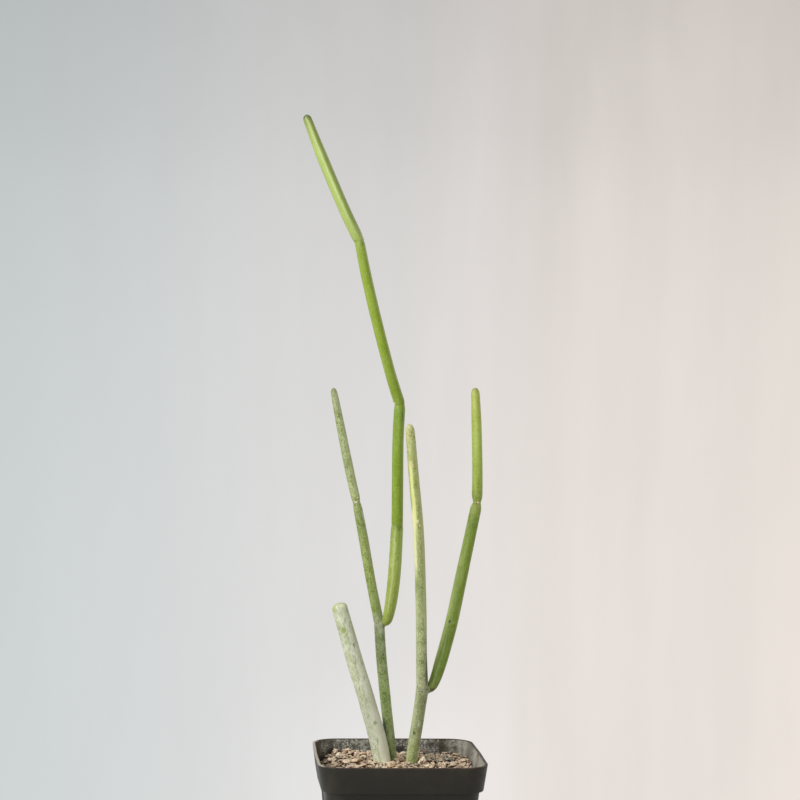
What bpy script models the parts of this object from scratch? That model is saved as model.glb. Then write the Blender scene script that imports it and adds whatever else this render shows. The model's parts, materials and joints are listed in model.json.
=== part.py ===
"""A potted sarcostemma: leafless, jointed green stems growing from one buried root crown, in a gritty
mineral mix, in a small square black nursery pot.

The frame: the origin is the middle of the pot's underside, +Z is up, +X is to the right and +Y is away
from the viewer. Sizes are in millimetres and become metres where a mesh is made.
"""

import math
import random
from dataclasses import dataclass

import bmesh
import bpy
from mathutils import Euler, Vector
from mathutils.bvhtree import BVHTree

MM = 0.001
GAP = 0.3  # clearance between pieces that touch
SEED = 41

# The pot: a thin moulded tray with a flared band around its mouth.
POT_HEIGHT = 72.0
MOUTH_HALF = 35.0  # half of the outer side at the top
BAND_HEIGHT = 11.0
BAND_FOOT_HALF = 33.4  # half of the outer side at the band's lower edge
BODY_TOP_HALF = 31.8
BASE_HALF = 25.4
MOUTH_CORNER, BAND_FOOT_CORNER = 10.8, 9.6
BODY_TOP_CORNER, BASE_CORNER = 8.2, 6.0
WALL = 1.15
SIDE_BOW = 0.3  # how far each side bulges at its middle
EDGE_ROUND = 0.3
FLOOR_RAISE = 2.0  # the floor stands this far above the table
FLOOR_THICKNESS = 1.2
STANDING_RING = 2.0
RIB_WIDTH = 1.4
BOSS_RADIUS = 5.0
SLOT_LENGTH, SLOT_WIDTH, SLOT_REACH = 12.0, 3.5, 19.0
PANEL_DEPTH, PANEL_SHARE = 0.45, 0.94  # the recess in each side, as a share of its flat width
PANEL_LOW, PANEL_HIGH = 5.0, 59.6

BAND_FOOT_Z = POT_HEIGHT - BAND_HEIGHT
LEDGE_Z = BAND_FOOT_Z + WALL
FLOOR_Z = FLOOR_RAISE + FLOOR_THICKNESS

# The planted bed.
BED_LEVEL = 65.2
FRONT_FALL, LEFT_FALL, MOST_FALL = 1.3, 1.1, 1.5
MOUND_RISE, MOUND_RADIUS = 0.8, 12.0
EDGE_DROP = 0.4  # the bed's outermost ring lies this far below its surface
BED_RINGS = (0.95, 0.84, 0.72, 0.6, 0.48, 0.36, 0.24, 0.12)

# The root crown that the stems grow from.
CROWN_CENTRE = (-0.3, 6.4, 43.5)
CROWN_RADII = (9.0, 6.4, 5.6)
ROOT_COUNT, ROOT_LENGTH, ROOT_RADIUS = 5, 19.0, 1.1

STEM_SIDES = 12
RING_SPACING = 7.0
NECK_REACH = 1.6  # how far a joint's waist reaches to each side


@dataclass(frozen=True)
class Finish:
    """A plain material: its colour (linear RGB), roughness and metallic value."""

    name: str
    colour: tuple
    roughness: float = 0.6
    metallic: float = 0.0

    def material(self):
        """The Principled material of this name, made on first use."""
        found = bpy.data.materials.get(self.name)
        if found:
            return found
        made = bpy.data.materials.new(self.name)
        made.use_nodes = True
        shader = made.node_tree.nodes["Principled BSDF"]
        shader.inputs["Base Color"].default_value = (*self.colour, 1.0)
        shader.inputs["Roughness"].default_value = self.roughness
        shader.inputs["Metallic"].default_value = self.metallic
        return made


BLACK_PLASTIC = Finish("black_plastic", (0.025, 0.023, 0.020), 0.45)
MIX = Finish("gritty_mix", (0.36, 0.25, 0.16), 0.95)
ROOT_BARK = Finish("root_bark", (0.30, 0.20, 0.11), 0.9)
WAXY_OLD_STEM = Finish("waxy_old_stem", (0.50, 0.58, 0.38), 0.55)
GREY_GREEN_STEM = Finish("grey_green_stem", (0.26, 0.38, 0.15), 0.5)
FRESH_STEM = Finish("fresh_green_stem", (0.24, 0.42, 0.06), 0.45)
PUMICE = Finish("pumice", (0.62, 0.52, 0.37), 0.95)
AKADAMA = Finish("akadama_clay", (0.46, 0.22, 0.10), 0.95)
LAVA = Finish("lava_stone", (0.10, 0.08, 0.08), 0.9)
TWIG_BARK = Finish("twig_bark", (0.20, 0.11, 0.05), 0.9)
STRAW = Finish("dry_straw", (0.55, 0.40, 0.20), 0.85)


@dataclass(frozen=True)
class Internode:
    """One stretch of stem between joints: points along its middle, and its diameter at each of them."""

    points: tuple
    widths: tuple


@dataclass(frozen=True)
class Stem:
    """A stem that grew in one piece: its internodes from foot to tip, each starting where the last ends."""

    name: str
    finish: Finish
    internodes: tuple
    tip_length: float  # the rounded end's length, as a share of its radius


OLD_STEM = Stem(
    "old_stem",
    WAXY_OLD_STEM,
    (
        Internode(
            ((-4.6, 4.6, 44), (-6.4, 4, 68.5), (-13, 2, 92.5), (-18.5, 1, 109.5), (-26.6, -0.6, 136)),
            (7.4, 7.5, 7.2, 7.1, 6.6),
        ),
    ),
    0.55,
)
LEFT_STEM = Stem(
    "left_stem",
    GREY_GREEN_STEM,
    (
        Internode(
            ((-0.6, 9.4, 43), (-1.9, 10, 67.5), (-4.8, 11, 91), (-6.9, 12, 111.5), (-7.8, 12.5, 125)),
            (4.2, 4.4, 4.4, 4.3, 3.7),
        ),
        Internode(
            ((-7.8, 12.5, 125), (-11.4, 14, 142), (-14.8, 16, 160.5), (-18, 17.5, 176.5)),
            (3.7, 4.0, 4.0, 3.5),
        ),
        Internode(
            ((-18, 17.5, 176.5), (-21.2, 19, 190), (-24.8, 21, 207), (-28.6, 23, 225.5)),
            (3.5, 3.8, 3.6, 3.0),
        ),
    ),
    0.9,
)
TALL_SHOOT = Stem(
    "tall_shoot",
    FRESH_STEM,
    (
        Internode(
            ((-7.6, 12.2, 124.6), (-5, 9.2, 127), (-3.2, 6.6, 136), (-2.2, 4.5, 149), (-1.7, 2, 168)),
            (2.2, 3.6, 5.1, 5.35, 3.9),
        ),
        Internode(
            ((-1.7, 2, 168), (-2, 0, 184), (-2.3, -2, 204), (-1.9, -3.5, 219)),
            (3.9, 4.6, 4.7, 3.9),
        ),
        Internode(
            ((-1.9, -3.5, 219), (-6, -5, 231), (-11.8, -7, 251), (-17, -8.5, 271), (-20.4, -9, 286.5)),
            (3.9, 4.2, 4.25, 4.2, 3.8),
        ),
        Internode(
            ((-20.4, -9, 286.5), (-27.2, -8, 300.5), (-36, -5, 321), (-43.2, -2, 339.5)),
            (3.8, 4.4, 4.5, 3.7),
        ),
    ),
    0.9,
)
RIGHT_STEM = Stem(
    "right_stem",
    GREY_GREEN_STEM,
    (
        Internode(
            ((4.4, 6, 43), (6.4, 6, 68), (8.3, 5, 82), (9.6, 4, 92.5), (10.3, 3.5, 98.5)),
            (4.9, 5.1, 5.0, 4.7, 4.8),
        ),
        Internode(
            ((10.3, 3.5, 98.5), (9.4, 1, 113), (8.5, -2, 133.5), (6.5, -7, 164.5), (3.9, -10.5, 188), (1.5, -14, 210)),
            (4.8, 4.5, 4.5, 4.5, 4.4, 4.0),
        ),
    ),
    0.8,
)
RIGHT_SHOOT = Stem(
    "right_shoot",
    FRESH_STEM,
    (
        Internode(
            (
                (10.6, 3.6, 98),
                (13.4, 4.5, 98.4),
                (15.5, 5.6, 101),
                (18.2, 7, 109),
                (22.9, 10, 125.5),
                (27.4, 13, 146),
                (34, 16.5, 177),
            ),
            (2.4, 3.4, 4.7, 5.3, 5.4, 5.1, 3.9),
        ),
        Internode(
            ((34, 16.5, 177), (34.2, 18, 191), (33.8, 20.5, 211), (33, 22, 226.5)),
            (3.9, 4.5, 4.4, 3.8),
        ),
    ),
    0.9,
)
STEMS = (OLD_STEM, LEFT_STEM, TALL_SHOOT, RIGHT_STEM, RIGHT_SHOOT)
ROOTED = (OLD_STEM, LEFT_STEM, RIGHT_STEM)
BRANCHES = ((TALL_SHOOT, LEFT_STEM), (RIGHT_SHOOT, RIGHT_STEM))  # each with the stem that bears it


@dataclass(frozen=True)
class GrainKind:
    """A kind of loose grit on the bed: how many single grains, and their least and most width."""

    name: str
    finish: Finish
    count: int
    least: float
    most: float


GRAIN_KINDS = (
    GrainKind("pumice_grain", PUMICE, 16, 2.4, 3.9),
    GrainKind("akadama_grain", AKADAMA, 13, 2.2, 3.4),
    GrainKind("lava_grain", LAVA, 9, 2.0, 3.0),
)


@dataclass(frozen=True)
class Chip:
    """A bit of plant litter lying on the bed: its middle, its turn in degrees and its size."""

    name: str
    finish: Finish
    place: tuple
    turn: float
    length: float
    width: float


CHIPS = (
    Chip("twig_chip", TWIG_BARK, (0.8, 2.2), 62.0, 5.6, 0.95),
    Chip("straw_chip", STRAW, (27.0, 4.0), 55.0, 6.2, 0.8),
)
CHIP_BEND = 0.5
GRAIN_MARGIN = 2.8  # from a grain's middle to the pot's wall
GRAIN_FLATNESS = (0.6, 0.85)


def remove_everything():
    """Empties the scene."""
    for item in list(bpy.data.objects):
        bpy.data.objects.remove(item, do_unlink=True)


def object_from(name, mesh_data, finish=None):
    """A scene object made from a bmesh, with smooth shading broken at its sharp edges."""
    bmesh.ops.recalc_face_normals(mesh_data, faces=mesh_data.faces)
    mesh = bpy.data.meshes.new(name)
    mesh_data.to_mesh(mesh)
    mesh_data.free()
    mesh.shade_smooth()
    mesh.set_sharp_from_angle(angle=math.radians(35))
    if finish:
        mesh.materials.append(finish.material())
    made = bpy.data.objects.new(name, mesh)
    bpy.context.scene.collection.objects.link(made)
    return made


def cutter(item):
    """Marks an object as a tool for Booleans, which the finished part leaves out."""
    item.hide_render = True
    item.display_type = "WIRE"
    return item


def combine(item, tool, operation):
    """Adds a Boolean of item with tool."""
    modifier = item.modifiers.new(f"{operation.lower()}_{tool.name}", "BOOLEAN")
    modifier.operation = operation
    modifier.object = tool


def loft(rings):
    """A closed bmesh through rings of points in millimetres, with its first and last ring filled."""
    mesh_data = bmesh.new()
    rows = [[mesh_data.verts.new(Vector(point) * MM) for point in ring] for ring in rings]
    for lower, upper in zip(rows, rows[1:]):
        for i, vertex in enumerate(lower):
            after = (i + 1) % len(lower)
            mesh_data.faces.new((vertex, lower[after], upper[after], upper[i]))
    mesh_data.faces.new(reversed(rows[0]))
    mesh_data.faces.new(rows[-1])
    return mesh_data


def rounded_square(half, corner, z, corner_steps=6, side_steps=4):
    """A level ring with round corners and slightly bowed sides, z being a height or a function of x, y."""
    points = []
    flat = half - corner
    for quarter in range(4):
        turn = math.pi / 2 * quarter
        for step in range(corner_steps + 1):
            angle = turn + math.pi / 2 * step / corner_steps
            middle = Vector((flat, flat)) if quarter == 0 else None
            middle = middle or Vector((
                math.copysign(flat, math.cos(turn + math.pi / 4)),
                math.copysign(flat, math.sin(turn + math.pi / 4)),
            ))
            points.append(middle + Vector((math.cos(angle), math.sin(angle))) * corner)
        outward = Vector((math.cos(turn + math.pi / 2), math.sin(turn + math.pi / 2)))
        along = Vector((-outward.y, outward.x))
        for step in range(1, side_steps):
            share = 2 * step / side_steps - 1
            bulge = SIDE_BOW * (1 - share**2)
            points.append(outward * (half + bulge) + along * flat * share)
    height = z if callable(z) else lambda x, y: z
    return [(p.x, p.y, height(p.x, p.y)) for p in points]


def body_half(z):
    """Half of the pot body's outer side at height z."""
    return BASE_HALF + (BODY_TOP_HALF - BASE_HALF) * z / BAND_FOOT_Z


def body_corner(z):
    """The pot body's outer corner radius at height z."""
    return BASE_CORNER + (BODY_TOP_CORNER - BASE_CORNER) * z / BAND_FOOT_Z


def band_half(z):
    """Half of the band's outer side at height z."""
    share = (z - BAND_FOOT_Z) / BAND_HEIGHT
    return BAND_FOOT_HALF + (MOUTH_HALF - BAND_FOOT_HALF) * share


def band_corner(z):
    """The band's outer corner radius at height z."""
    share = (z - BAND_FOOT_Z) / BAND_HEIGHT
    return BAND_FOOT_CORNER + (MOUTH_CORNER - BAND_FOOT_CORNER) * share


def inset_ring(half, corner, inset, z):
    """A ring that lies inside an outer one by inset, its corners keeping the same centres."""
    return rounded_square(half - inset, corner - inset, z)


def pot_shell():
    """The pot's outside, lip, inside and floor, then its hollow underside, as one loft."""
    base = (BASE_HALF, BASE_CORNER)
    top = POT_HEIGHT
    rings = [
        inset_ring(*base, STANDING_RING, FLOOR_RAISE),
        inset_ring(*base, STANDING_RING, 0.0),
        inset_ring(*base, EDGE_ROUND, 0.0),
        inset_ring(body_half(EDGE_ROUND), body_corner(EDGE_ROUND), 0.0, EDGE_ROUND),
        inset_ring(BODY_TOP_HALF, BODY_TOP_CORNER, 0.0, BAND_FOOT_Z),
        inset_ring(BAND_FOOT_HALF, BAND_FOOT_CORNER, EDGE_ROUND, BAND_FOOT_Z),
        inset_ring(BAND_FOOT_HALF, BAND_FOOT_CORNER, 0.0, BAND_FOOT_Z + EDGE_ROUND),
        inset_ring(MOUTH_HALF, MOUTH_CORNER, 0.0, top - EDGE_ROUND),
        inset_ring(MOUTH_HALF, MOUTH_CORNER, EDGE_ROUND, top),
        inset_ring(MOUTH_HALF, MOUTH_CORNER, WALL - EDGE_ROUND, top),
        inset_ring(MOUTH_HALF, MOUTH_CORNER, WALL, top - EDGE_ROUND),
        inset_ring(band_half(LEDGE_Z), band_corner(LEDGE_Z), WALL, LEDGE_Z),
        inset_ring(body_half(LEDGE_Z), body_corner(LEDGE_Z), WALL, LEDGE_Z),
        inset_ring(body_half(FLOOR_Z), body_corner(FLOOR_Z), WALL, FLOOR_Z),
    ]
    return loft(rings)


def panel_cutter(name, turn):
    """A slab that sinks a shallow panel into one side, following the side's lean and bow."""
    rings = []
    for z in (PANEL_LOW, PANEL_HIGH):
        half = body_half(z)
        width = (half - body_corner(z)) * PANEL_SHARE
        inner = []
        for step in range(5):
            share = step / 2 - 1
            inner.append((width * share, half + SIDE_BOW * (1 - (share * PANEL_SHARE) ** 2) - PANEL_DEPTH))
        outer = [(width, half + 2), (-width, half + 2)]
        rings.append([(x * math.cos(turn) - y * math.sin(turn), x * math.sin(turn) + y * math.cos(turn), z)
                      for x, y in inner + outer])
    return cutter(object_from(name, loft(rings)))


def box(name, size, centre, turn=0.0):
    """A box of size, in millimetres, about centre and turned about the vertical."""
    mesh_data = bmesh.new()
    bmesh.ops.create_cube(mesh_data, size=MM)
    bmesh.ops.scale(mesh_data, vec=size, verts=mesh_data.verts)
    bmesh.ops.rotate(mesh_data, matrix=Euler((0, 0, turn)).to_matrix(), verts=mesh_data.verts)
    bmesh.ops.translate(mesh_data, vec=Vector(centre) * MM, verts=mesh_data.verts)
    return object_from(name, mesh_data)


def slot(name, turn):
    """A drain slot's cutter: a box with two round ends, pointing out along a diagonal."""
    ring = []
    for end in (1, -1):
        for step in range(7):
            angle = -math.pi / 2 + math.pi * step / 6
            x = end * ((SLOT_LENGTH - SLOT_WIDTH) / 2 + math.cos(angle) * SLOT_WIDTH / 2) + SLOT_REACH
            y = end * math.sin(angle) * SLOT_WIDTH / 2
            ring.append((x * math.cos(turn) - y * math.sin(turn), x * math.sin(turn) + y * math.cos(turn)))
    heights = (FLOOR_RAISE - 1, FLOOR_Z + 1)
    return cutter(object_from(name, loft([[(x, y, z) for x, y in ring] for z in heights])))


def build_pot():
    """The square pot, with ribs and a foot under its floor, drain slots and a shallow panel on each side."""
    pot = object_from("pot", pot_shell(), BLACK_PLASTIC)
    reach = 2 * (BASE_HALF - STANDING_RING / 2)
    rib_height = FLOOR_RAISE + FLOOR_THICKNESS / 2
    for name, size in (("rib_x", (reach, RIB_WIDTH, rib_height)), ("rib_y", (RIB_WIDTH, reach, rib_height))):
        combine(pot, cutter(box(name, size, (0, 0, rib_height / 2))), "UNION")
    boss = bmesh.new()
    bmesh.ops.create_cone(
        boss, cap_ends=True, segments=24, radius1=BOSS_RADIUS * MM, radius2=BOSS_RADIUS * MM,
        depth=rib_height * MM,
    )
    bmesh.ops.translate(boss, vec=(0, 0, rib_height / 2 * MM), verts=boss.verts)
    combine(pot, cutter(object_from("boss", boss)), "UNION")
    for quarter in range(4):
        turn = math.pi / 2 * quarter
        combine(pot, slot(f"slot_{quarter}", turn + math.pi / 4), "DIFFERENCE")
        combine(pot, panel_cutter(f"panel_{quarter}", turn), "DIFFERENCE")
    return pot


def smooth_step(value):
    """0 below 0, 1 above 1, and an even slope between."""
    value = min(max(value, 0.0), 1.0)
    return value * value * (3 - 2 * value)


def bed_height(x, y):
    """The bed's surface: a low mound at the stems that falls to the front and to the left, with lumps."""
    mound = MOUND_RISE * math.exp(-(x**2 + (y - 7) ** 2) / MOUND_RADIUS**2)
    fall = FRONT_FALL * smooth_step((-4 - y) / 22) + LEFT_FALL * smooth_step((-17 - x) / 12)
    lumps = 0.25 * math.sin(0.62 * x + 1.1) * math.sin(0.55 * y + 0.5) + 0.15 * math.sin(0.9 * x - 1.15 * y)
    return BED_LEVEL + mound - min(fall, MOST_FALL) + lumps


def along(internode, share):
    """A point on an internode's smooth middle line, and the stem's width there, at 0 to 1 of its points."""
    points = [Vector(point) for point in internode.points]
    reach = share * (len(points) - 1)
    start = min(int(reach), len(points) - 2)
    t = reach - start
    before = points[start - 1] if start else points[0] * 2 - points[1]
    after = points[start + 2] if start + 2 < len(points) else points[-1] * 2 - points[-2]
    a, b = points[start], points[start + 1]
    place = 0.5 * (
        2 * a + (b - before) * t + (2 * before - 5 * a + 4 * b - after) * t**2
        + (3 * a - before - 3 * b + after) * t**3
    )
    width = internode.widths[start] * (1 - t) + internode.widths[start + 1] * t
    return place, width


def centre_line(stem, spacing=RING_SPACING):
    """Points and radii along a stem, from its foot to where its rounded tip begins to close."""
    line = []
    for internode in stem.internodes:
        length = sum((Vector(b) - Vector(a)).length for a, b in zip(internode.points, internode.points[1:]))
        steps = max(3, round(length / spacing))
        neck = NECK_REACH / length
        shares = [0.0, neck] + [neck + (1 - 2 * neck) * step / steps for step in range(1, steps + 1)] + [1.0]
        for share in shares[1 if line else 0:]:
            place, width = along(internode, share)
            line.append((place, width / 2))
    return line


def ring_about(place, forward, radius, guide, sides):
    """A ring of points about place in the plane across forward, starting nearest to guide."""
    first = (guide - forward * guide.dot(forward)).normalized()
    second = forward.cross(first)
    return first, [
        place + (first * math.cos(angle) + second * math.sin(angle)) * radius
        for angle in (math.tau * side / sides for side in range(sides))
    ]


def tube(line, sides, tip_length=0.0):
    """A closed bmesh tube along a line of points and radii, its far end rounded over tip_length radii."""
    places = [place for place, _ in line]
    rings, guide = [], Vector((0, -1, 0))
    for i, (place, radius) in enumerate(line):
        ahead = places[min(i + 1, len(line) - 1)] - places[max(i - 1, 0)]
        guide, ring = ring_about(place, ahead.normalized(), radius, guide, sides)
        rings.append(ring)
    if tip_length:
        forward = (places[-1] - places[-2]).normalized()
        radius = line[-1][1]
        start = places[-1] - forward * radius * tip_length
        rings.pop()
        for lift in (0.0, 0.35, 0.65, 0.87, 0.98):
            place = start + forward * radius * tip_length * lift
            guide, ring = ring_about(place, forward, radius * math.sqrt(1 - lift**2), guide, sides)
            rings.append(ring)
    return loft(rings)


def grown(line, extra):
    """A line of points and radii that is wider, and longer at its far end, by extra."""
    (before, _), (end, _) = line[-2:]
    wider = [(place, radius + extra) for place, radius in line]
    wider[-1] = (end + (end - before).normalized() * extra, wider[-1][1])
    return wider


def stem_tube(stem, extra=0.0):
    """A stem's bmesh, grown by extra for a cutter that leaves a clearance."""
    return tube(grown(centre_line(stem), extra), STEM_SIDES, stem.tip_length)


def crown_solid(name, extra=0.0):
    """The root crown with its main roots, all grown outwards by extra."""
    mesh_data = bmesh.new()
    bmesh.ops.create_uvsphere(mesh_data, u_segments=18, v_segments=10, radius=1.0)
    for vertex in mesh_data.verts:
        lump = 1 + 0.07 * math.sin(4 * vertex.co.x + 1) * math.cos(5 * vertex.co.y) + 0.04 * math.sin(6 * vertex.co.z)
        size = [(radius * lump + extra) * MM for radius in CROWN_RADII]
        vertex.co = Vector(a * b for a, b in zip(vertex.co, size)) + Vector(CROWN_CENTRE) * MM
    crown = object_from(name, mesh_data, ROOT_BARK)
    for number in range(ROOT_COUNT):
        turn = math.tau * (number + 0.3) / ROOT_COUNT
        out = Vector((math.cos(turn), math.sin(turn), 0))
        start = Vector(CROWN_CENTRE) + Vector((out.x * 5, out.y * 3.2, -1.5))
        line = []
        for step in range(6):
            share = step / 5
            sag = Vector((0, 0, -ROOT_LENGTH * (0.35 + 0.12 * (number % 3)) * (share + share**2)))
            place = start + out * ROOT_LENGTH * 0.62 * share + sag
            line.append((place, ROOT_RADIUS * (1 - 0.6 * share)))
        root = cutter(object_from(f"{name}_root_{number}", tube(grown(line, extra), 6, 1.0)))
        combine(crown, root, "UNION")
    return crown


def build_stems(crown_cutter):
    """The five stems, the rooted ones trimmed to the crown and the branches to the stem that bears them."""
    made = {stem.name: object_from(stem.name, stem_tube(stem), stem.finish) for stem in STEMS}
    for stem in ROOTED:
        combine(made[stem.name], crown_cutter, "DIFFERENCE")
    for branch, bearer in BRANCHES:
        seat = cutter(object_from(f"seat_of_{branch.name}", stem_tube(bearer, GAP)))
        combine(made[branch.name], seat, "DIFFERENCE")
    return made


def build_mix(crown_cutter):
    """The potting mix: it fills the pot up to the bed's surface, with a snug hollow for stems and crown."""
    band_z = LEDGE_Z + GAP
    edge = (band_half(band_z) - WALL - GAP, band_corner(band_z) - WALL - GAP)
    bottom_z = FLOOR_Z + GAP
    rings = [
        inset_ring(body_half(bottom_z), body_corner(bottom_z), WALL + GAP, bottom_z),
        inset_ring(body_half(band_z), body_corner(band_z), WALL + GAP, band_z),
        rounded_square(*edge, band_z),
        rounded_square(*edge, lambda x, y: bed_height(x, y) - EDGE_DROP),
    ]
    for share in BED_RINGS:
        rings.append(rounded_square(edge[0] * share, edge[1] * share, bed_height))
    mix = object_from("potting_mix", loft(rings), MIX)
    combine(mix, crown_cutter, "DIFFERENCE")
    for stem in ROOTED:
        socket = cutter(object_from(f"socket_of_{stem.name}", stem_tube(stem, GAP)))
        combine(mix, socket, "DIFFERENCE")
    return mix


def evaluated(item):
    """A BVH tree of an object with its modifiers, in metres."""
    bpy.context.view_layer.update()
    return BVHTree.FromObject(item, bpy.context.evaluated_depsgraph_get())


def grain_mesh(size, dice):
    """A small worn stone: an icosphere with its points moved in or out, squashed and turned."""
    mesh_data = bmesh.new()
    bmesh.ops.create_icosphere(mesh_data, subdivisions=2, radius=size / 2 * MM)
    for vertex in mesh_data.verts:
        vertex.co *= dice.uniform(0.86, 1.0)
    flat = dice.uniform(*GRAIN_FLATNESS)
    bmesh.ops.scale(mesh_data, vec=(1.0, dice.uniform(0.75, 0.95), flat), verts=mesh_data.verts)
    turn = Euler((dice.uniform(-0.3, 0.3), dice.uniform(-0.3, 0.3), dice.uniform(0, math.tau)))
    bmesh.ops.rotate(mesh_data, matrix=turn.to_matrix(), verts=mesh_data.verts)
    return mesh_data


def seat_height(mesh_data, x, y, bed):
    """How high a loose bit stands over x, y so that its underside clears the bed by the gap."""
    above = Vector((x * MM, y * MM, POT_HEIGHT * MM))
    needed = []
    for vertex in mesh_data.verts:
        hit = bed.ray_cast(above + Vector((vertex.co.x, vertex.co.y, 0)), Vector((0, 0, -1)))[0]
        needed.append(hit.z - vertex.co.z)
    return max(needed) + GAP * MM


def chip_mesh(chip):
    """A short bent stick along its own length, turned about the vertical."""
    turn = Euler((0, 0, math.radians(chip.turn))).to_matrix()
    line = []
    for share in (-0.5, -0.25, 0.0, 0.25, 0.5):
        place = Vector((chip.length * share, CHIP_BEND * (1 - 4 * share**2), 0))
        line.append((turn @ place, chip.width / 2 * (1 - 0.3 * abs(share))))
    return tube(line, 6)


def free_place(dice, size, taken):
    """A place on the bed for a grain of this size, clear of the walls, the stems and the grains so far."""
    half = band_half(BED_LEVEL) - WALL - GRAIN_MARGIN
    while True:
        x, y = dice.uniform(-half, half), dice.uniform(-half, half)
        corner = band_corner(BED_LEVEL)
        over = Vector((max(abs(x) - (half - corner), 0), max(abs(y) - (half - corner), 0)))
        if over.length > corner:
            continue
        if all((Vector((x, y)) - spot).length > radius + size / 2 + GAP for spot, radius in taken):
            return x, y


def stem_spots():
    """Where the rooted stems pass through the bed: points and radii, seen from above."""
    return [
        (Vector((place.x, place.y)), radius + GAP)
        for stem in ROOTED
        for place, radius in centre_line(stem, 1.5)
        if BED_LEVEL - 4 < place.z < BED_LEVEL + 6
    ]


def build_chips(bed, taken):
    """The bits of litter, seated on the bed."""
    for chip in CHIPS:
        x, y = chip.place
        mesh_data = chip_mesh(chip)
        height = seat_height(mesh_data, x, y, bed)
        object_from(chip.name, mesh_data, chip.finish).location = (x * MM, y * MM, height)
        turn = math.radians(chip.turn)
        for share in (-0.4, 0.0, 0.4):
            spot = Vector((x, y)) + Vector((math.cos(turn), math.sin(turn))) * chip.length * share
            taken.append((spot, chip.length / 4))


def build_grains(bed, taken):
    """Loose single grains on the bed, each its own piece, none touching another, a stem or the wall."""
    dice = random.Random(SEED)
    for kind in GRAIN_KINDS:
        for number in range(1, kind.count + 1):
            size = dice.uniform(kind.least, kind.most)
            x, y = free_place(dice, size, taken)
            mesh_data = grain_mesh(size, dice)
            height = seat_height(mesh_data, x, y, bed)
            taken.append((Vector((x, y)), size / 2))
            grain = object_from(f"{kind.name}_{number:02d}", mesh_data, kind.finish)
            grain.location = (x * MM, y * MM, height)


def main():
    """Builds the potted plant."""
    remove_everything()
    build_pot()
    crown_solid("root_crown")
    crown_cutter = cutter(crown_solid("crown_clearance", GAP))
    build_stems(crown_cutter)
    mix = build_mix(crown_cutter)
    bed = evaluated(mix)
    taken = stem_spots()
    build_chips(bed, taken)
    build_grains(bed, taken)


main()
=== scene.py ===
"""The looks of a potted sarcostemma: leafless jointed stems in a gritty mix, in a small square black pot.

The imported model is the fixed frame. Each stem, the pot, the loose grains and the litter are modelled here
around it. Sizes are in millimetres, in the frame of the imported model, and become metres in the meshes.
"""

import json
import logging
import math
import random
from contextlib import contextmanager
from dataclasses import dataclass, field
from enum import Enum, IntEnum
from typing import Callable, Iterator, Sequence

import bmesh
import bpy
from mathutils import Euler, Matrix, Vector

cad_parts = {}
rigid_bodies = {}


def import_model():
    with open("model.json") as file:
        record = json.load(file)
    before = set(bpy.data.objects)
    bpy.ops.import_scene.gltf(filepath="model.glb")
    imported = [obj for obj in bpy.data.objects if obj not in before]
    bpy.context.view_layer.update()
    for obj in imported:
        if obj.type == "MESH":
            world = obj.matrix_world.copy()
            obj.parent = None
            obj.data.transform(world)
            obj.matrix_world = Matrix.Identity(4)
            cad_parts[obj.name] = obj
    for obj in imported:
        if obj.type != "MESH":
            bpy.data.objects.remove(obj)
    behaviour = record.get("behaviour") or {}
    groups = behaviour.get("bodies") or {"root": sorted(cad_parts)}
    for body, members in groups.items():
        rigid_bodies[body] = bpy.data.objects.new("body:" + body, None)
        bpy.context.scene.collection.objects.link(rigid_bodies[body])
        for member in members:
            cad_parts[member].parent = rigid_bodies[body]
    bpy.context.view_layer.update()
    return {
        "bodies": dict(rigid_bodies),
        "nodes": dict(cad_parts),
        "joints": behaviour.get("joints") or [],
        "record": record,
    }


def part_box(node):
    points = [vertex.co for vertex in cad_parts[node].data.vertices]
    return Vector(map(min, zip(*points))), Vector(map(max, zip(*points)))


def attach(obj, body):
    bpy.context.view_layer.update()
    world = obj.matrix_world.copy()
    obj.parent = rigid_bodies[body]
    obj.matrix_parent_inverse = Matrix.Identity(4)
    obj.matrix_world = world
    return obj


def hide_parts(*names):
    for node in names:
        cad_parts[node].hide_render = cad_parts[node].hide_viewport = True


MM = 0.001
NEAR = 1.0  # How close, in millimetres, counts as being at a level or a middle.
BODY = "root"
SEED = 73

Chart = tuple[int, int, int]
Colour = tuple[float, float, float, float]
Point = tuple[float, float, float]
SurfacePoint = Callable[[float, float], Vector]

log = logging.getLogger("sarcostemma")


def tint(red: float, green: float, blue: float) -> Colour:
    """Turns a chart colour into the linear one that a shader takes.

    Args:
        red: The red part, 0 to 255.
        green: The green part, 0 to 255.
        blue: The blue part, 0 to 255.

    Returns:
        The linear colour, with an alpha of 1.
    """
    parts = (part / 255 for part in (red, green, blue))
    linear = [part / 12.92 if part <= 0.04045 else ((part + 0.055) / 1.055) ** 2.4 for part in parts]
    return (*linear, 1.0)


def smooth_step(value: float) -> float:
    """Returns 0 below 0, 1 above 1, and a smooth slope between."""
    value = min(max(value, 0.0), 1.0)
    return value * value * (3 - 2 * value)


# ---- Tools of the bench: choosing, shaping and finishing meshes.


def take_only(*items: bpy.types.Object) -> None:
    """Selects these objects and nothing else, and makes the first one active."""
    bpy.ops.object.select_all(action="DESELECT")
    for item in items:
        item.select_set(True)
    bpy.context.view_layer.objects.active = items[0]


@contextmanager
def editing(item: bpy.types.Object, kind: str = "VERT") -> Iterator[None]:
    """Opens an object in edit mode, with nothing chosen, and closes it again.

    Args:
        item: The mesh object to shape.
        kind: What is chosen: VERT, EDGE or FACE.

    Yields:
        Nothing; the object is in edit mode meanwhile.
    """
    take_only(item)
    bpy.ops.object.mode_set(mode="EDIT")
    bpy.ops.mesh.select_mode(type=kind)
    bpy.ops.mesh.select_all(action="DESELECT")
    try:
        yield
    finally:
        bpy.ops.object.mode_set(mode="OBJECT")


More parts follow.
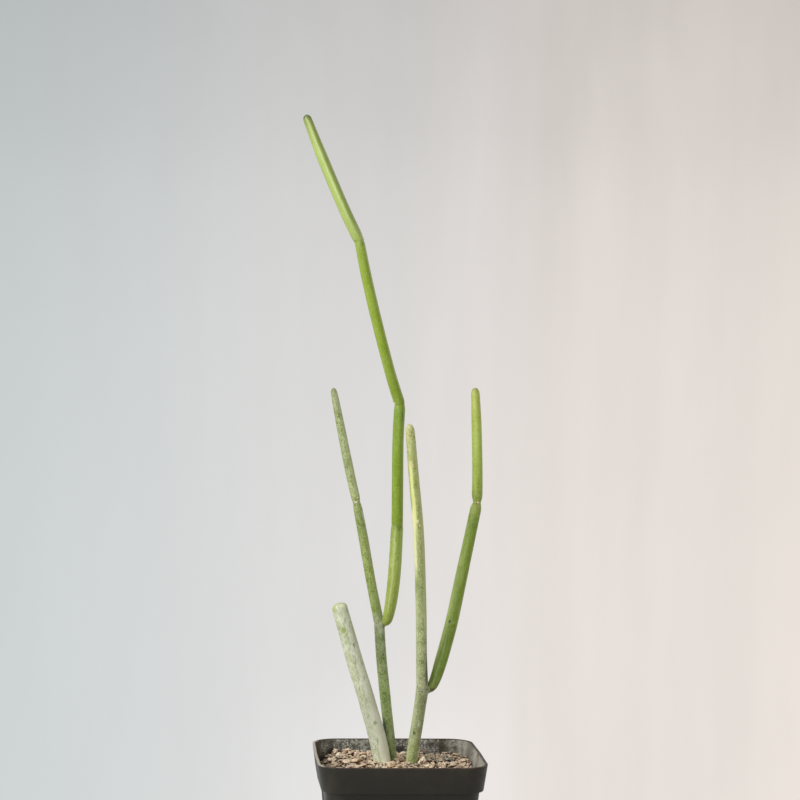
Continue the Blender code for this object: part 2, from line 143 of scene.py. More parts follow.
@contextmanager
def choosing(item: bpy.types.Object) -> Iterator[bmesh.types.BMesh]:
    """Lends the mesh of an object in edit mode, with nothing chosen, and then shows what was chosen."""
    mesh = bmesh.from_edit_mesh(item.data)
    for part in (*mesh.faces, *mesh.edges, *mesh.verts):
        part.select = False
    yield mesh
    bmesh.update_edit_mesh(item.data)


def choose_points(item: bpy.types.Object, test: Callable[[Vector], bool]) -> None:
    """Chooses the vertices whose place, in millimetres, passes a test, in edit mode."""
    with choosing(item) as mesh:
        for vertex in mesh.verts:
            vertex.select_set(test(vertex.co / MM))
        mesh.select_flush(True)


def choose_faces(item: bpy.types.Object, test: Callable[[Vector], bool]) -> None:
    """Chooses the faces whose middle, in millimetres, passes a test, in edit mode."""
    with choosing(item) as mesh:
        for face in mesh.faces:
            if test(face.calc_center_median() / MM):
                face.select_set(True)


def modify(item: bpy.types.Object, kind: str, **settings: object) -> None:
    """Adds a modifier to an object and applies it.

    Args:
        item: The object.
        kind: The modifier's type.
        settings: Its settings, by name.
    """
    take_only(item)
    modifier = item.modifiers.new(kind.lower(), kind)
    for name, value in settings.items():
        setattr(modifier, name, value)
    bpy.ops.object.modifier_apply(modifier=modifier.name)


def settle(item: bpy.types.Object) -> None:
    """Moves an object's place, turn and size into its mesh."""
    take_only(item)
    bpy.ops.object.transform_apply(location=True, rotation=True, scale=True)


def face_outwards(item: bpy.types.Object) -> None:
    """Turns every face of a closed mesh to point out."""
    with editing(item, "FACE"):
        bpy.ops.mesh.select_all(action="SELECT")
        bpy.ops.mesh.normals_make_consistent(inside=False)


def shade(item: bpy.types.Object, angle: float) -> None:
    """Shades an object smooth, with its edges sharper than angle degrees left sharp."""
    take_only(item)
    bpy.ops.object.shade_smooth_by_angle(angle=math.radians(angle))


def new_from_primitive(name: str) -> bpy.types.Object:
    """Names the primitive that was just added and returns it."""
    item = bpy.context.view_layer.objects.active
    item.name = name
    item.data.name = name
    return item


def new_object(name: str, data: bpy.types.ID) -> bpy.types.Object:
    """Returns a new object of the scene that holds this mesh, curve, light or camera."""
    made = bpy.data.objects.new(name, data)
    bpy.context.scene.collection.objects.link(made)
    return made


def new_disc(name: str, sides: int, radius: float) -> bpy.types.Object:
    """Returns a flat disc at the origin, its radius in millimetres."""
    bpy.ops.object.select_all(action="DESELECT")
    bpy.ops.mesh.primitive_circle_add(
        vertices=sides, radius=radius * MM, location=(0, 0, 0), fill_type="NGON"
    )
    return new_from_primitive(name)


def new_tube(name: str, sides: int, rings: Sequence[tuple[float, float]]) -> bpy.types.Object:
    """Makes a closed tube that stands straight up: a disc that is extruded and resized ring by ring.

    Args:
        name: The tube's name.
        sides: How many sides it has.
        rings: The height and the radius of each ring, in millimetres.

    Returns:
        The tube, its foot at the origin.
    """
    height, radius = rings[0]
    tube = new_disc(name, sides, radius)
    with editing(tube, "FACE"):
        bpy.ops.mesh.select_all(action="SELECT")
        for above, wider in rings[1:]:
            lift = (0, 0, (above - height) * MM)
            bpy.ops.mesh.extrude_region_move(TRANSFORM_OT_translate={"value": lift})
            scale = wider / radius
            bpy.ops.transform.resize(value=(scale, scale, 1), center_override=(0, 0, above * MM))
            height, radius = above, wider
    return tube


def make_lumpy(item: bpy.types.Object, texture: str, size: float, depth: float) -> None:
    """Pushes a mesh in and out by a soft cloudy texture.

    Args:
        item: The object.
        texture: The texture's name.
        size: How far across its lumps are, in millimetres.
        depth: How far the lumps stand over the hollows, in millimetres.
    """
    made = bpy.data.textures.get(texture) or bpy.data.textures.new(texture, "CLOUDS")
    made.noise_scale = size * MM
    modify(item, "DISPLACE", texture=made, texture_coords="GLOBAL", strength=depth * MM, mid_level=0.5)


def dress(item: bpy.types.Object, *materials: bpy.types.Material) -> None:
    """Gives an object these materials in place of those that it has."""
    item.data.materials.clear()
    for material in materials:
        item.data.materials.append(material)


def write_skin(item: bpy.types.Object, places: Sequence[Sequence[float]]) -> None:
    """Writes the attribute that a skin's pattern is read from: a place for each vertex."""
    attribute = item.data.attributes.new("skin", "FLOAT_VECTOR", "POINT")
    attribute.data.foreach_set("vector", [part for place in places for part in place])


def size_of(item: bpy.types.Object) -> tuple[Vector, Vector]:
    """Returns the lowest and highest corner of an object's mesh, in metres."""
    sides = list(zip(*(vertex.co for vertex in item.data.vertices)))
    return Vector(min(side) for side in sides), Vector(max(side) for side in sides)


def fit_into(item: bpy.types.Object, low: Vector, high: Vector) -> None:
    """Stretches and moves a settled mesh so that it just fills a box.

    Args:
        item: The object.
        low: The box's lowest corner, in metres.
        high: The box's highest corner, in metres.
    """
    own_low, own_high = size_of(item)
    with editing(item):
        bpy.ops.mesh.select_all(action="SELECT")
        middle = (own_low + own_high) / 2
        scale = [(high[axis] - low[axis]) / (own_high[axis] - own_low[axis]) for axis in range(3)]
        bpy.ops.transform.resize(value=scale, center_override=middle)
        bpy.ops.transform.translate(value=(low + high) / 2 - middle)


# ---- Shaders: values that can be reckoned with, and the recipe that a material is written in.


def maths(operation: str, reflected: bool = False) -> "Callable[[Value, Value | float], Value]":
    """Makes an operator of values, which adds a Math node to their material.

    Args:
        operation: The node's operation.
        reflected: Whether the other term comes first.

    Returns:
        The operator.
    """

    def operate(value: "Value", other: "Value | float") -> "Value":
        """Returns the outcome of the operation on two terms."""
        terms = (other, value) if reflected else (value, other)
        return value.recipe.node("ShaderNodeMath", {"operation": operation}, dict(enumerate(terms)))

    return operate


class Value:
    """One output of a node. Arithmetic on it adds Math nodes to its material."""

    def __init__(self, recipe: "Recipe", socket: bpy.types.NodeSocket) -> None:
        """Keeps the socket and the recipe that it belongs to."""
        self.recipe = recipe
        self.socket = socket

    __add__ = __radd__ = maths("ADD")
    __sub__ = maths("SUBTRACT")
    __rsub__ = maths("SUBTRACT", reflected=True)
    __mul__ = __rmul__ = maths("MULTIPLY")
    __truediv__ = maths("DIVIDE")

    def __abs__(self) -> "Value":
        """Returns this without its sign."""
        return self.recipe.node("ShaderNodeMath", {"operation": "ABSOLUTE"}, {0: self})

    def sine(self) -> "Value":
        """Returns the sine of this."""
        return self.recipe.node("ShaderNodeMath", {"operation": "SINE"}, {0: self})


class Recipe:
    """A material, or the world, while its nodes are being written."""

    def __init__(self, owner: "bpy.types.Material | bpy.types.World") -> None:
        """Empties the owner's node tree to write it anew."""
        owner.use_nodes = True
        self.owner = owner
        self.tree = owner.node_tree
        self.tree.nodes.clear()

    def node(
        self,
        kind: str,
        settings: "dict | None" = None,
        inputs: "dict | None" = None,
        output: "int | str" = 0,
    ) -> Value:
        """Adds a node.

        Args:
            kind: The node's type.
            settings: Its settings, set first; "stops" holds a colour ramp's stops.
            inputs: Values or links, by the name or number of the socket.
            output: The socket that is wanted.

        Returns:
            The wanted output.
        """
        made = self.tree.nodes.new(kind)
        for name, value in (settings or {}).items():
            if name == "stops":
                self._set_stops(made.color_ramp, value)
            else:
                setattr(made, name, value)
        for name, value in (inputs or {}).items():
            socket = made.inputs[name]
            if isinstance(value, Value):
                self.tree.links.new(value.socket, socket)
            else:
                socket.default_value = value
        return Value(self, made.outputs[output])

    @staticmethod
    def _set_stops(ramp: bpy.types.ColorRamp, stops: Sequence[tuple[float, Colour]]) -> None:
        """Gives a colour ramp its stops, each a position and a colour."""
        while len(ramp.elements) < len(stops):
            ramp.elements.new(1.0)
        for element, (position, colour) in zip(ramp.elements, stops):
            element.position = position
            element.color = colour

    def place(self) -> Value:
        """Returns the place on the piece, in millimetres."""
        metres = self.node("ShaderNodeTexCoord", output="Object")
        return self.node("ShaderNodeVectorMath", {"operation": "SCALE"}, {0: metres, "Scale": 1 / MM})

    def own(self, name: str, output: str = "Fac") -> Value:
        """Returns one of the mesh's own attributes."""
        settings = {"attribute_type": "GEOMETRY", "attribute_name": name}
        return self.node("ShaderNodeAttribute", settings, output=output)

    def part(self, vector: Value, axis: str) -> Value:
        """Returns the X, Y or Z part of a vector."""
        return self.node("ShaderNodeSeparateXYZ", inputs={0: vector}, output=axis)

    def stretched(self, vector: Value, factors: "Value | Point") -> Value:
        """Returns a vector times a factor for each axis."""
        return self.node("ShaderNodeVectorMath", {"operation": "MULTIPLY"}, {0: vector, 1: factors})

    def shifted(self, vector: Value, offset: "Value | Point") -> Value:
        """Returns the sum of two vectors."""
        return self.node("ShaderNodeVectorMath", {"operation": "ADD"}, {0: vector, 1: offset})

    def distance(self, vector: Value, other: Point) -> Value:
        """Returns how far a vector is from a fixed point."""
        settings = {"operation": "DISTANCE"}
        return self.node("ShaderNodeVectorMath", settings, {0: vector, 1: other}, output="Value")

    def noise(self, vector: Value, scale: float, detail: float = 3.0, roughness: float = 0.55) -> Value:
        """Returns fractal noise, from 0 to 1 about 0.5."""
        inputs = {"Vector": vector, "Scale": scale, "Detail": detail, "Roughness": roughness}
        return self.node("ShaderNodeTexNoise", inputs=inputs)

    def drift(self, vector: Value, scale: float, reach: float) -> Value:
        """Returns a vector pushed about by noise, up to about reach each way."""
        inputs = {"Vector": vector, "Scale": scale, "Detail": 2.0}
        push = self.node("ShaderNodeTexNoise", inputs=inputs, output="Color")
        centred = self.shifted(push, (-0.5, -0.5, -0.5))
        return self.shifted(vector, self.stretched(centred, (2 * reach,) * 3))

    def cells(self, vector: Value, scale: float) -> Value:
        """Returns a cell pattern: the distance to the nearest cell's middle."""
        return self.node("ShaderNodeTexVoronoi", inputs={"Vector": vector, "Scale": scale})

    def rise(self, value: Value, low: float, high: float) -> Value:
        """Returns 0 where value is at low, 1 where it is at high, and a smooth slope between."""
        inputs = {"Value": value, "From Min": low, "From Max": high}
        return self.node("ShaderNodeMapRange", {"interpolation_type": "SMOOTHSTEP"}, inputs)

    def mix(self, share: "Value | float", first: "Value | Colour", second: "Value | Colour") -> Value:
        """Returns first where share is 0 and second where it is 1."""
        settings = {"data_type": "RGBA"}
        return self.node("ShaderNodeMix", settings, {0: share, 6: first, 7: second}, output=2)

    def ramp(self, share: Value, stops: Sequence[tuple[float, Colour]]) -> Value:
        """Returns a colour read from a ramp."""
        return self.node("ShaderNodeValToRGB", {"stops": stops}, {0: share})

    def along(self, value: Value, stops: Sequence[tuple[float, Colour]]) -> Value:
        """Reads a colour from stops that are placed by a value of any range.

        Args:
            value: What places the stops, such as a height.
            stops: Pairs of that value and a colour, in rising order.

        Returns:
            The colour there.
        """
        low, high = stops[0][0], stops[-1][0]
        placed = [((at - low) / (high - low), colour) for at, colour in stops]
        return self.ramp((value - low) / (high - low), placed)

    def amount_along(self, value: Value, stops: Sequence[tuple[float, float]]) -> Value:
        """Reads a number of 0 to 1 from stops that are placed by a value, as along reads a colour."""
        greys = [(at, (amount,) * 3 + (1.0,)) for at, amount in stops]
        return self.node("ShaderNodeRGBToBW", inputs={0: self.along(value, greys)})

    def scribble(self, vector: Value, scale: float, detail: float, width: float) -> Value:
        """Returns thin curling lines, each where noise passes its middle."""
        away = abs(self.noise(vector, scale, detail, 0.6) - 0.5)
        return 1 - self.rise(away, 0.006, width)

    def bump(self, height: Value, distance: float) -> Value:
        """Returns a normal tilted by a height of 0 to 1 that stands distance millimetres tall."""
        inputs = {"Height": height, "Distance": distance * MM}
        return self.node("ShaderNodeBump", inputs=inputs, output="Normal")

    def surface(
        self, colour: Value, roughness: "Value | float", normal: Value, specular: float = 0.5
    ) -> bpy.types.Material:
        """Ends a material with its shader.

        Args:
            colour: The base colour.
            roughness: The roughness.
            normal: The bumped normal.
            specular: How strongly it mirrors, the same all over.

        Returns:
            The finished material.
        """
        inputs = {
            "Base Color": colour, "Roughness": roughness, "Normal": normal, "Specular IOR Level": specular,
        }
        self.node_output(self.node("ShaderNodeBsdfPrincipled", inputs=inputs))
        return self.owner

    def node_output(self, shader: Value) -> None:
        """Links a shader to the owner's output."""
        kind = "World" if isinstance(self.owner, bpy.types.World) else "Material"
        made = self.tree.nodes.new(f"ShaderNodeOutput{kind}")
        self.tree.links.new(shader.socket, made.inputs["Surface"])


def recipe_for(name: str) -> Recipe:
    """Returns the recipe of a new material."""
    return Recipe(bpy.data.materials.new(name))


# ---- Finishes.


@dataclass(frozen=True)
class PotPlastic:
    """Thin black plastic, satin, a little dusty, with a paler lip edge partly painted highlight, and a
    painted lit left lip.
    """

    name: str = "black_plastic"
    colour: Colour = tint(33, 29, 20)
    dust: Colour = tint(122, 112, 98)
    # A paler brown for the lip's top edge: partly its own tone, partly a painted highlight.
    lip: Colour = tint(104, 82, 70)
    # Painted light: the pale tan that the outer left lip takes, as if the lamp on the left caught it.
    lit_and_worn: Colour = tint(196, 184, 166)
    lip_height: float = 71.4
    lip_depth: float = 0.6
    lit_lip_from: float = -31.6
    lit_lip_to: float = -33.6

    def material(self) -> bpy.types.Material:
        """Returns the finished material."""
        recipe = recipe_for(self.name)
        place = recipe.place()
        cloudy = recipe.noise(place, 0.045, 4.0, 0.6)
        specks = recipe.rise(recipe.noise(place, 1.4), 0.62, 0.78)
        base = recipe.mix(recipe.rise(cloudy, 0.45, 0.8) * 0.16, self.colour, self.dust)
        base = recipe.mix(specks * recipe.rise(cloudy, 0.3, 0.7) * 0.12, base, self.dust)
        # The lip's top edge is made paler in patches: partly its own tone, partly a painted highlight along
        # the lip.
        edge = recipe.rise(recipe.part(place, "Z"), self.lip_height, self.lip_height + self.lip_depth)
        lip_patches = recipe.rise(recipe.noise(place, 0.35), 0.3, 0.65)
        base = recipe.mix(edge * lip_patches * 0.6, base, self.lip)
        # Painted light: the outer left lip is made pale tan, as if lit by the lamp on the left.
        lit_left_side = 1 - recipe.rise(recipe.part(place, "X"), self.lit_lip_to, self.lit_lip_from)
        base = recipe.mix(edge * lit_left_side * 0.8, base, self.lit_and_worn)
        scuffs = recipe.noise(recipe.stretched(place, (0.25, 0.25, 2.4)), 0.8, 4.0)
        roughness = 0.42 + recipe.rise(scuffs, 0.4, 0.75) * 0.16 + specks * 0.15
        grain = recipe.noise(place, 2.2, 2.0)
        return recipe.surface(base, roughness, recipe.bump(grain, 0.035), 0.34)


@dataclass(frozen=True)
class LimedPlastic:
    """The pot's inside: black plastic with a bloom of lime, in thin scribbles and in dusty patches."""

    name: str = "limed_plastic"
    colour: Colour = tint(37, 35, 26)
    dust: Colour = tint(108, 101, 85)
    lime: Colour = tint(200, 197, 184)
    chalk: Colour = tint(180, 174, 160)
    # Painted shade: the warm dark brown of the left inner wall, which faces away from the lamp.
    left_wall_shade: Colour = tint(74, 64, 46)
    bed_line: float = 66.5
    chalk_from: float = 27.0
    chalk_to: float = 31.5
    left_wall_shade_from: float = -30.0
    left_wall_shade_to: float = -32.4

    def material(self) -> bpy.types.Material:
        """Returns the finished material."""
        recipe = recipe_for(self.name)
        place = recipe.place()
        line = recipe.scribble(recipe.drift(place, 0.35, 1.2), 0.75, 3.0, 0.05)
        curl = recipe.scribble(recipe.shifted(place, (40.0, 9.0, 3.0)), 1.25, 2.0, 0.045)
        patch = recipe.rise(recipe.noise(recipe.shifted(place, (7.0, 0.0, 0.0)), 0.11, 2.0), 0.40, 0.58)
        height = recipe.part(place, "Z")
        high = recipe.rise(height, self.bed_line - 2.0, self.bed_line + 1.5)
        cloudy = recipe.noise(place, 0.2, 4.0, 0.65)
        base = recipe.mix(recipe.rise(cloudy, 0.42, 0.66) * 0.55, self.colour, self.dust)
        marks = (line * 0.85 + curl * 0.7) * patch * high
        fine = recipe.rise(recipe.noise(place, 2.6), 0.52, 0.7) * patch * 0.5
        base = recipe.mix(fine, base, self.lime)
        base = recipe.mix(marks, base, self.lime)
        side = recipe.part(place, "X")
        streaks = recipe.noise(recipe.stretched(place, (1.0, 1.0, 0.25)), 0.7, 3.0, 0.6)
        chalky = 0.3 + recipe.rise(streaks, 0.4, 0.62) * 0.55
        base = recipe.mix(recipe.rise(side, self.chalk_from, self.chalk_to) * chalky, base, self.chalk)
        # Painted shade: the left inner wall, turned away from the lamp, is darkened to a warm brown; dry is
        # the share outside it.
        dry = recipe.rise(side, self.left_wall_shade_to, self.left_wall_shade_from)
        base = recipe.mix((1 - dry) * 0.85, base, self.left_wall_shade)
        roughness = 0.62 + marks * 0.25
        return recipe.surface(base, roughness, recipe.bump(marks + fine, 0.06), 0.3)


@dataclass(frozen=True)
class Mark:
    """A scar, stain or patch of painted shade on a stem: where it is, its width and length, and its chart
    colour.

    The bearing is in degrees round the stem, 0 to the front and 90 to the right.
    """

    height: float
    bearing: float
    width: float
    length: float
    colour: Chart
    strength: float = 0.9
    ragged: float = 0.35


@dataclass(frozen=True)
class ShadingStripe:
    """A streak of painted light and shade along a stem: between two heights, and two distances right of its
    middle.
    """

    low: float
    high: float
    left: float
    right: float
    colour: Chart
    strength: float
    ragged: float = 1.0


PALE_GREEN, DEEP_GREEN, BAND_GREEN = tint(206, 216, 138), tint(84, 110, 34), tint(190, 204, 104)
STRIPE_RISE, STRIPE_FALL, STRIPE_EDGE = 12.0, 6.0, 0.4


@dataclass(frozen=True)
class StemSkin:
    """A stem's skin: green that changes along it, under pale waxy flecks and deep green ones.

    Each of its greens is a height and the red, green and blue of a chart colour.
    """

    name: str
    greens: tuple[tuple[float, int, int, int], ...]
    bloom: Colour
    bloom_amount: tuple[tuple[float, float], ...]
    fleck: Colour = tint(84, 98, 48)
    fleck_amount: float = 0.3
    grain: float = 1.5
    streak: float = 0.5
    mottle: float = 0.2
    banding: tuple[float, float, float] = (0.0, 1.0, 0.0)
    roughness: float = 0.5
    relief: float = 0.03
    marks: tuple[Mark, ...] = ()
    # Streaks of painted light and shade: paler where the lamp and its highlight fall, darker on the shaded
    # side.
    shading_stripes: tuple[ShadingStripe, ...] = ()

    def material(self, surface_point: SurfacePoint) -> bpy.types.Material:
        """Writes the skin's material.

        Args:
            surface_point: Gives the place on the stem at a height and a bearing, in millimetres.

        Returns:
            The finished material.
        """
        recipe = recipe_for(self.name)
        skin = recipe.own("skin", "Vector")
        place = recipe.place()
        height = recipe.part(place, "Z")
        side = recipe.part(skin, "X")
        long = recipe.stretched(skin, (1.0, 1.0, self.streak))
        greens = [(at, tint(*chart)) for at, *chart in self.greens]
        base = self._uneven(recipe, recipe.along(height, greens), skin)
        amount = recipe.amount_along(height, self.bloom_amount)
        # Noise that wears the bloom thin in places; on the stems it paints no light.
        lit_and_worn = recipe.noise(recipe.shifted(skin, (17.0, 5.0, 0.0)), 0.22, 2.0) - 0.5
        pale = recipe.rise(recipe.noise(long, self.grain, 3.0, 0.6) + lit_and_worn * 0.35, 0.47, 0.6)
        base = recipe.mix(pale * amount, base, self.bloom)
        deep = recipe.noise(recipe.shifted(long, (3.0, 8.0, 2.0)), self.grain * 1.2, 3.0, 0.6)
        dots = recipe.rise(deep - lit_and_worn * 0.3, 0.53, 0.63)
        base = recipe.mix(dots * self.fleck_amount, base, self.fleck)
        for stripe in self.shading_stripes:
            base = self._striped(recipe, base, long, height, side, stripe)
        for mark in self.marks:
            base = self._marked(recipe, base, place, mark, surface_point)
        normal = recipe.bump(pale * 0.5 - dots * 0.5, self.relief)
        roughness = self.roughness + pale * amount * 0.2
        return recipe.surface(base, roughness, normal, 0.45)

    def _uneven(self, recipe: Recipe, base: Value, skin: Value) -> Value:
        """Returns the base green made a little paler, deeper and banded here and there."""
        soft = recipe.noise(recipe.stretched(skin, (1.0, 1.0, 0.16)), 0.55)
        base = recipe.mix(recipe.rise(soft, 0.5, 0.7) * self.mottle, base, PALE_GREEN)
        base = recipe.mix(recipe.rise(1 - soft, 0.5, 0.7) * self.mottle, base, DEEP_GREEN)
        amount, pitch, waver = self.banding
        if amount:
            phase = recipe.part(skin, "Z") * (2 * math.pi / pitch) + recipe.noise(skin, 0.45) * waver
            patchy = recipe.rise(recipe.noise(recipe.shifted(skin, (9.0, 2.0, 5.0)), 0.8), 0.46, 0.6)
            base = recipe.mix(recipe.rise(phase.sine(), 0.1, 0.9) * patchy * amount, base, BAND_GREEN)
        return base

    @staticmethod
    def _striped(
        recipe: Recipe, base: Value, long: Value, height: Value, side: Value, stripe: ShadingStripe
    ) -> Value:
        """Returns the base with one stripe of painted light and shade laid on it."""
        window = recipe.rise(height, stripe.low, stripe.low + STRIPE_RISE)
        window = window * (1 - recipe.rise(height, stripe.high - STRIPE_FALL, stripe.high))
        waver = recipe.noise(recipe.stretched(long, (1.0, 1.0, 0.3)), 0.9, 3.0, 0.6) - 0.5
        place = side + waver * (2 * stripe.ragged)
        across = recipe.rise(place, stripe.left - STRIPE_EDGE, stripe.left + STRIPE_EDGE)
        across = across * (1 - recipe.rise(place, stripe.right - STRIPE_EDGE, stripe.right + STRIPE_EDGE))
        return recipe.mix(window * across * stripe.strength, base, tint(*stripe.colour))

    @staticmethod
    def _marked(
        recipe: Recipe, base: Value, place: Value, mark: Mark, surface_point: SurfacePoint
    ) -> Value:
        """Returns the base with one mark laid on it."""
        shape = (2 / mark.width, 2 / mark.width, 2 / mark.length)
        middle = surface_point(mark.height, mark.bearing)
        squeezed = recipe.stretched(place, shape)
        away = recipe.distance(squeezed, tuple(part * factor for part, factor in zip(middle, shape)))
        edge = away + (recipe.noise(place, 1.1) - 0.5) * (4 * mark.ragged)
        return recipe.mix((1 - recipe.rise(edge, 0.55, 1.15)) * mark.strength, base, tint(*mark.colour))


@dataclass(frozen=True)
class StoneSkin:
    """Dry grit: colours that stones of one kind take, dark pores, painted shade on the flanks and painted
    light on top.
    """

    name: str
    colours: tuple[Colour, ...]
    pore_and_shade: Colour
    pore_size: float
    pore_amount: float
    fleck: Colour = tint(246, 230, 200)
    # Here dust is the pale colour of the painted light on the stones' tops.
    dust: Colour = tint(250, 234, 206)

    def material(self) -> bpy.types.Material:
        """Returns the finished material."""
        recipe = recipe_for(self.name)
        place = recipe.place()
        tone = recipe.own("tone")
        last = len(self.colours) - 1
        base = recipe.ramp(tone, [(index / last, colour) for index, colour in enumerate(self.colours)])
        mottle = recipe.noise(place, 1.15, 4.0, 0.7)
        base = recipe.mix(recipe.rise(mottle, 0.5, 0.6) * 0.6, base, self.fleck)
        base = recipe.mix(recipe.rise(1 - mottle, 0.52, 0.62) * 0.85, base, self.pore_and_shade)
        holes = recipe.cells(recipe.drift(place, 2.0, 0.25), 1 / self.pore_size)
        pores = 1 - recipe.rise(holes, 0.12, 0.34)
        base = recipe.mix(pores * self.pore_amount, base, self.pore_and_shade)
        # Painted shade and light by each face's direction: flanks and undersides darkened, upward faces
        # made pale as if lit from above.
        upward = recipe.part(recipe.node("ShaderNodeNewGeometry", output="Normal"), "Z")
        base = recipe.mix((1 - recipe.rise(upward, -0.3, 0.5)) * 0.8, base, self.pore_and_shade)
        base = recipe.mix(recipe.rise(upward, 0.3, 0.8) * 0.45, base, self.dust)
        return recipe.surface(base, 0.95, recipe.bump(mottle - pores * 0.6, 0.3), 0.2)


@dataclass(frozen=True)
class Crumbs:
    """The dark fine part of the mix, between the stones."""

    name: str = "fine_crumbs"
    dark: Colour = tint(40, 31, 23)
    light: Colour = tint(128, 102, 76)

    def material(self) -> bpy.types.Material:
        """Returns the finished material."""
        recipe = recipe_for(self.name)
        place = recipe.place()
        grains = recipe.cells(place, 1.1)
        speck = recipe.noise(place, 2.6, 4.0, 0.7)
        base = recipe.mix(recipe.rise(speck, 0.5, 0.72), self.dark, self.light)
        base = recipe.mix(recipe.rise(grains, 0.3, 0.7) * 0.6, base, self.dark)
        return recipe.surface(base, 0.96, recipe.bump(grains + speck, 0.5), 0.15)


@dataclass(frozen=True)
class Fibre:
    """Bark, root skin or straw: two colours in streaks along the piece."""

    name: str
    dark: Colour
    light: Colour
    direction: Point
    roughness: float = 0.9

    def material(self) -> bpy.types.Material:
        """Returns the finished material."""
        recipe = recipe_for(self.name)
        place = recipe.place()
        streaks = recipe.noise(recipe.stretched(place, self.direction), 3.2, 4.0, 0.65)
        blotch = recipe.noise(place, 0.8)
        base = recipe.mix(recipe.rise(streaks, 0.38, 0.66), self.dark, self.light)
        base = recipe.mix(recipe.rise(blotch, 0.55, 0.75) * 0.5, base, self.dark)
        return recipe.surface(base, self.roughness, recipe.bump(streaks, 0.08), 0.2)


@dataclass(frozen=True)
class ScaleSkin:
    """The papery scales and bud points at the joints."""

    name: str = "papery_scale"
    dark: Colour = tint(206, 178, 122)
    light: Colour = tint(250, 242, 208)

    def material(self) -> bpy.types.Material:
        """Returns the finished material."""
        recipe = recipe_for(self.name)
        blotch = recipe.noise(recipe.place(), 1.6)
        base = recipe.mix(recipe.rise(blotch, 0.4, 0.65), self.dark, self.light)
        return recipe.surface(base, 0.7, recipe.bump(blotch, 0.05))


# ---- The pot.


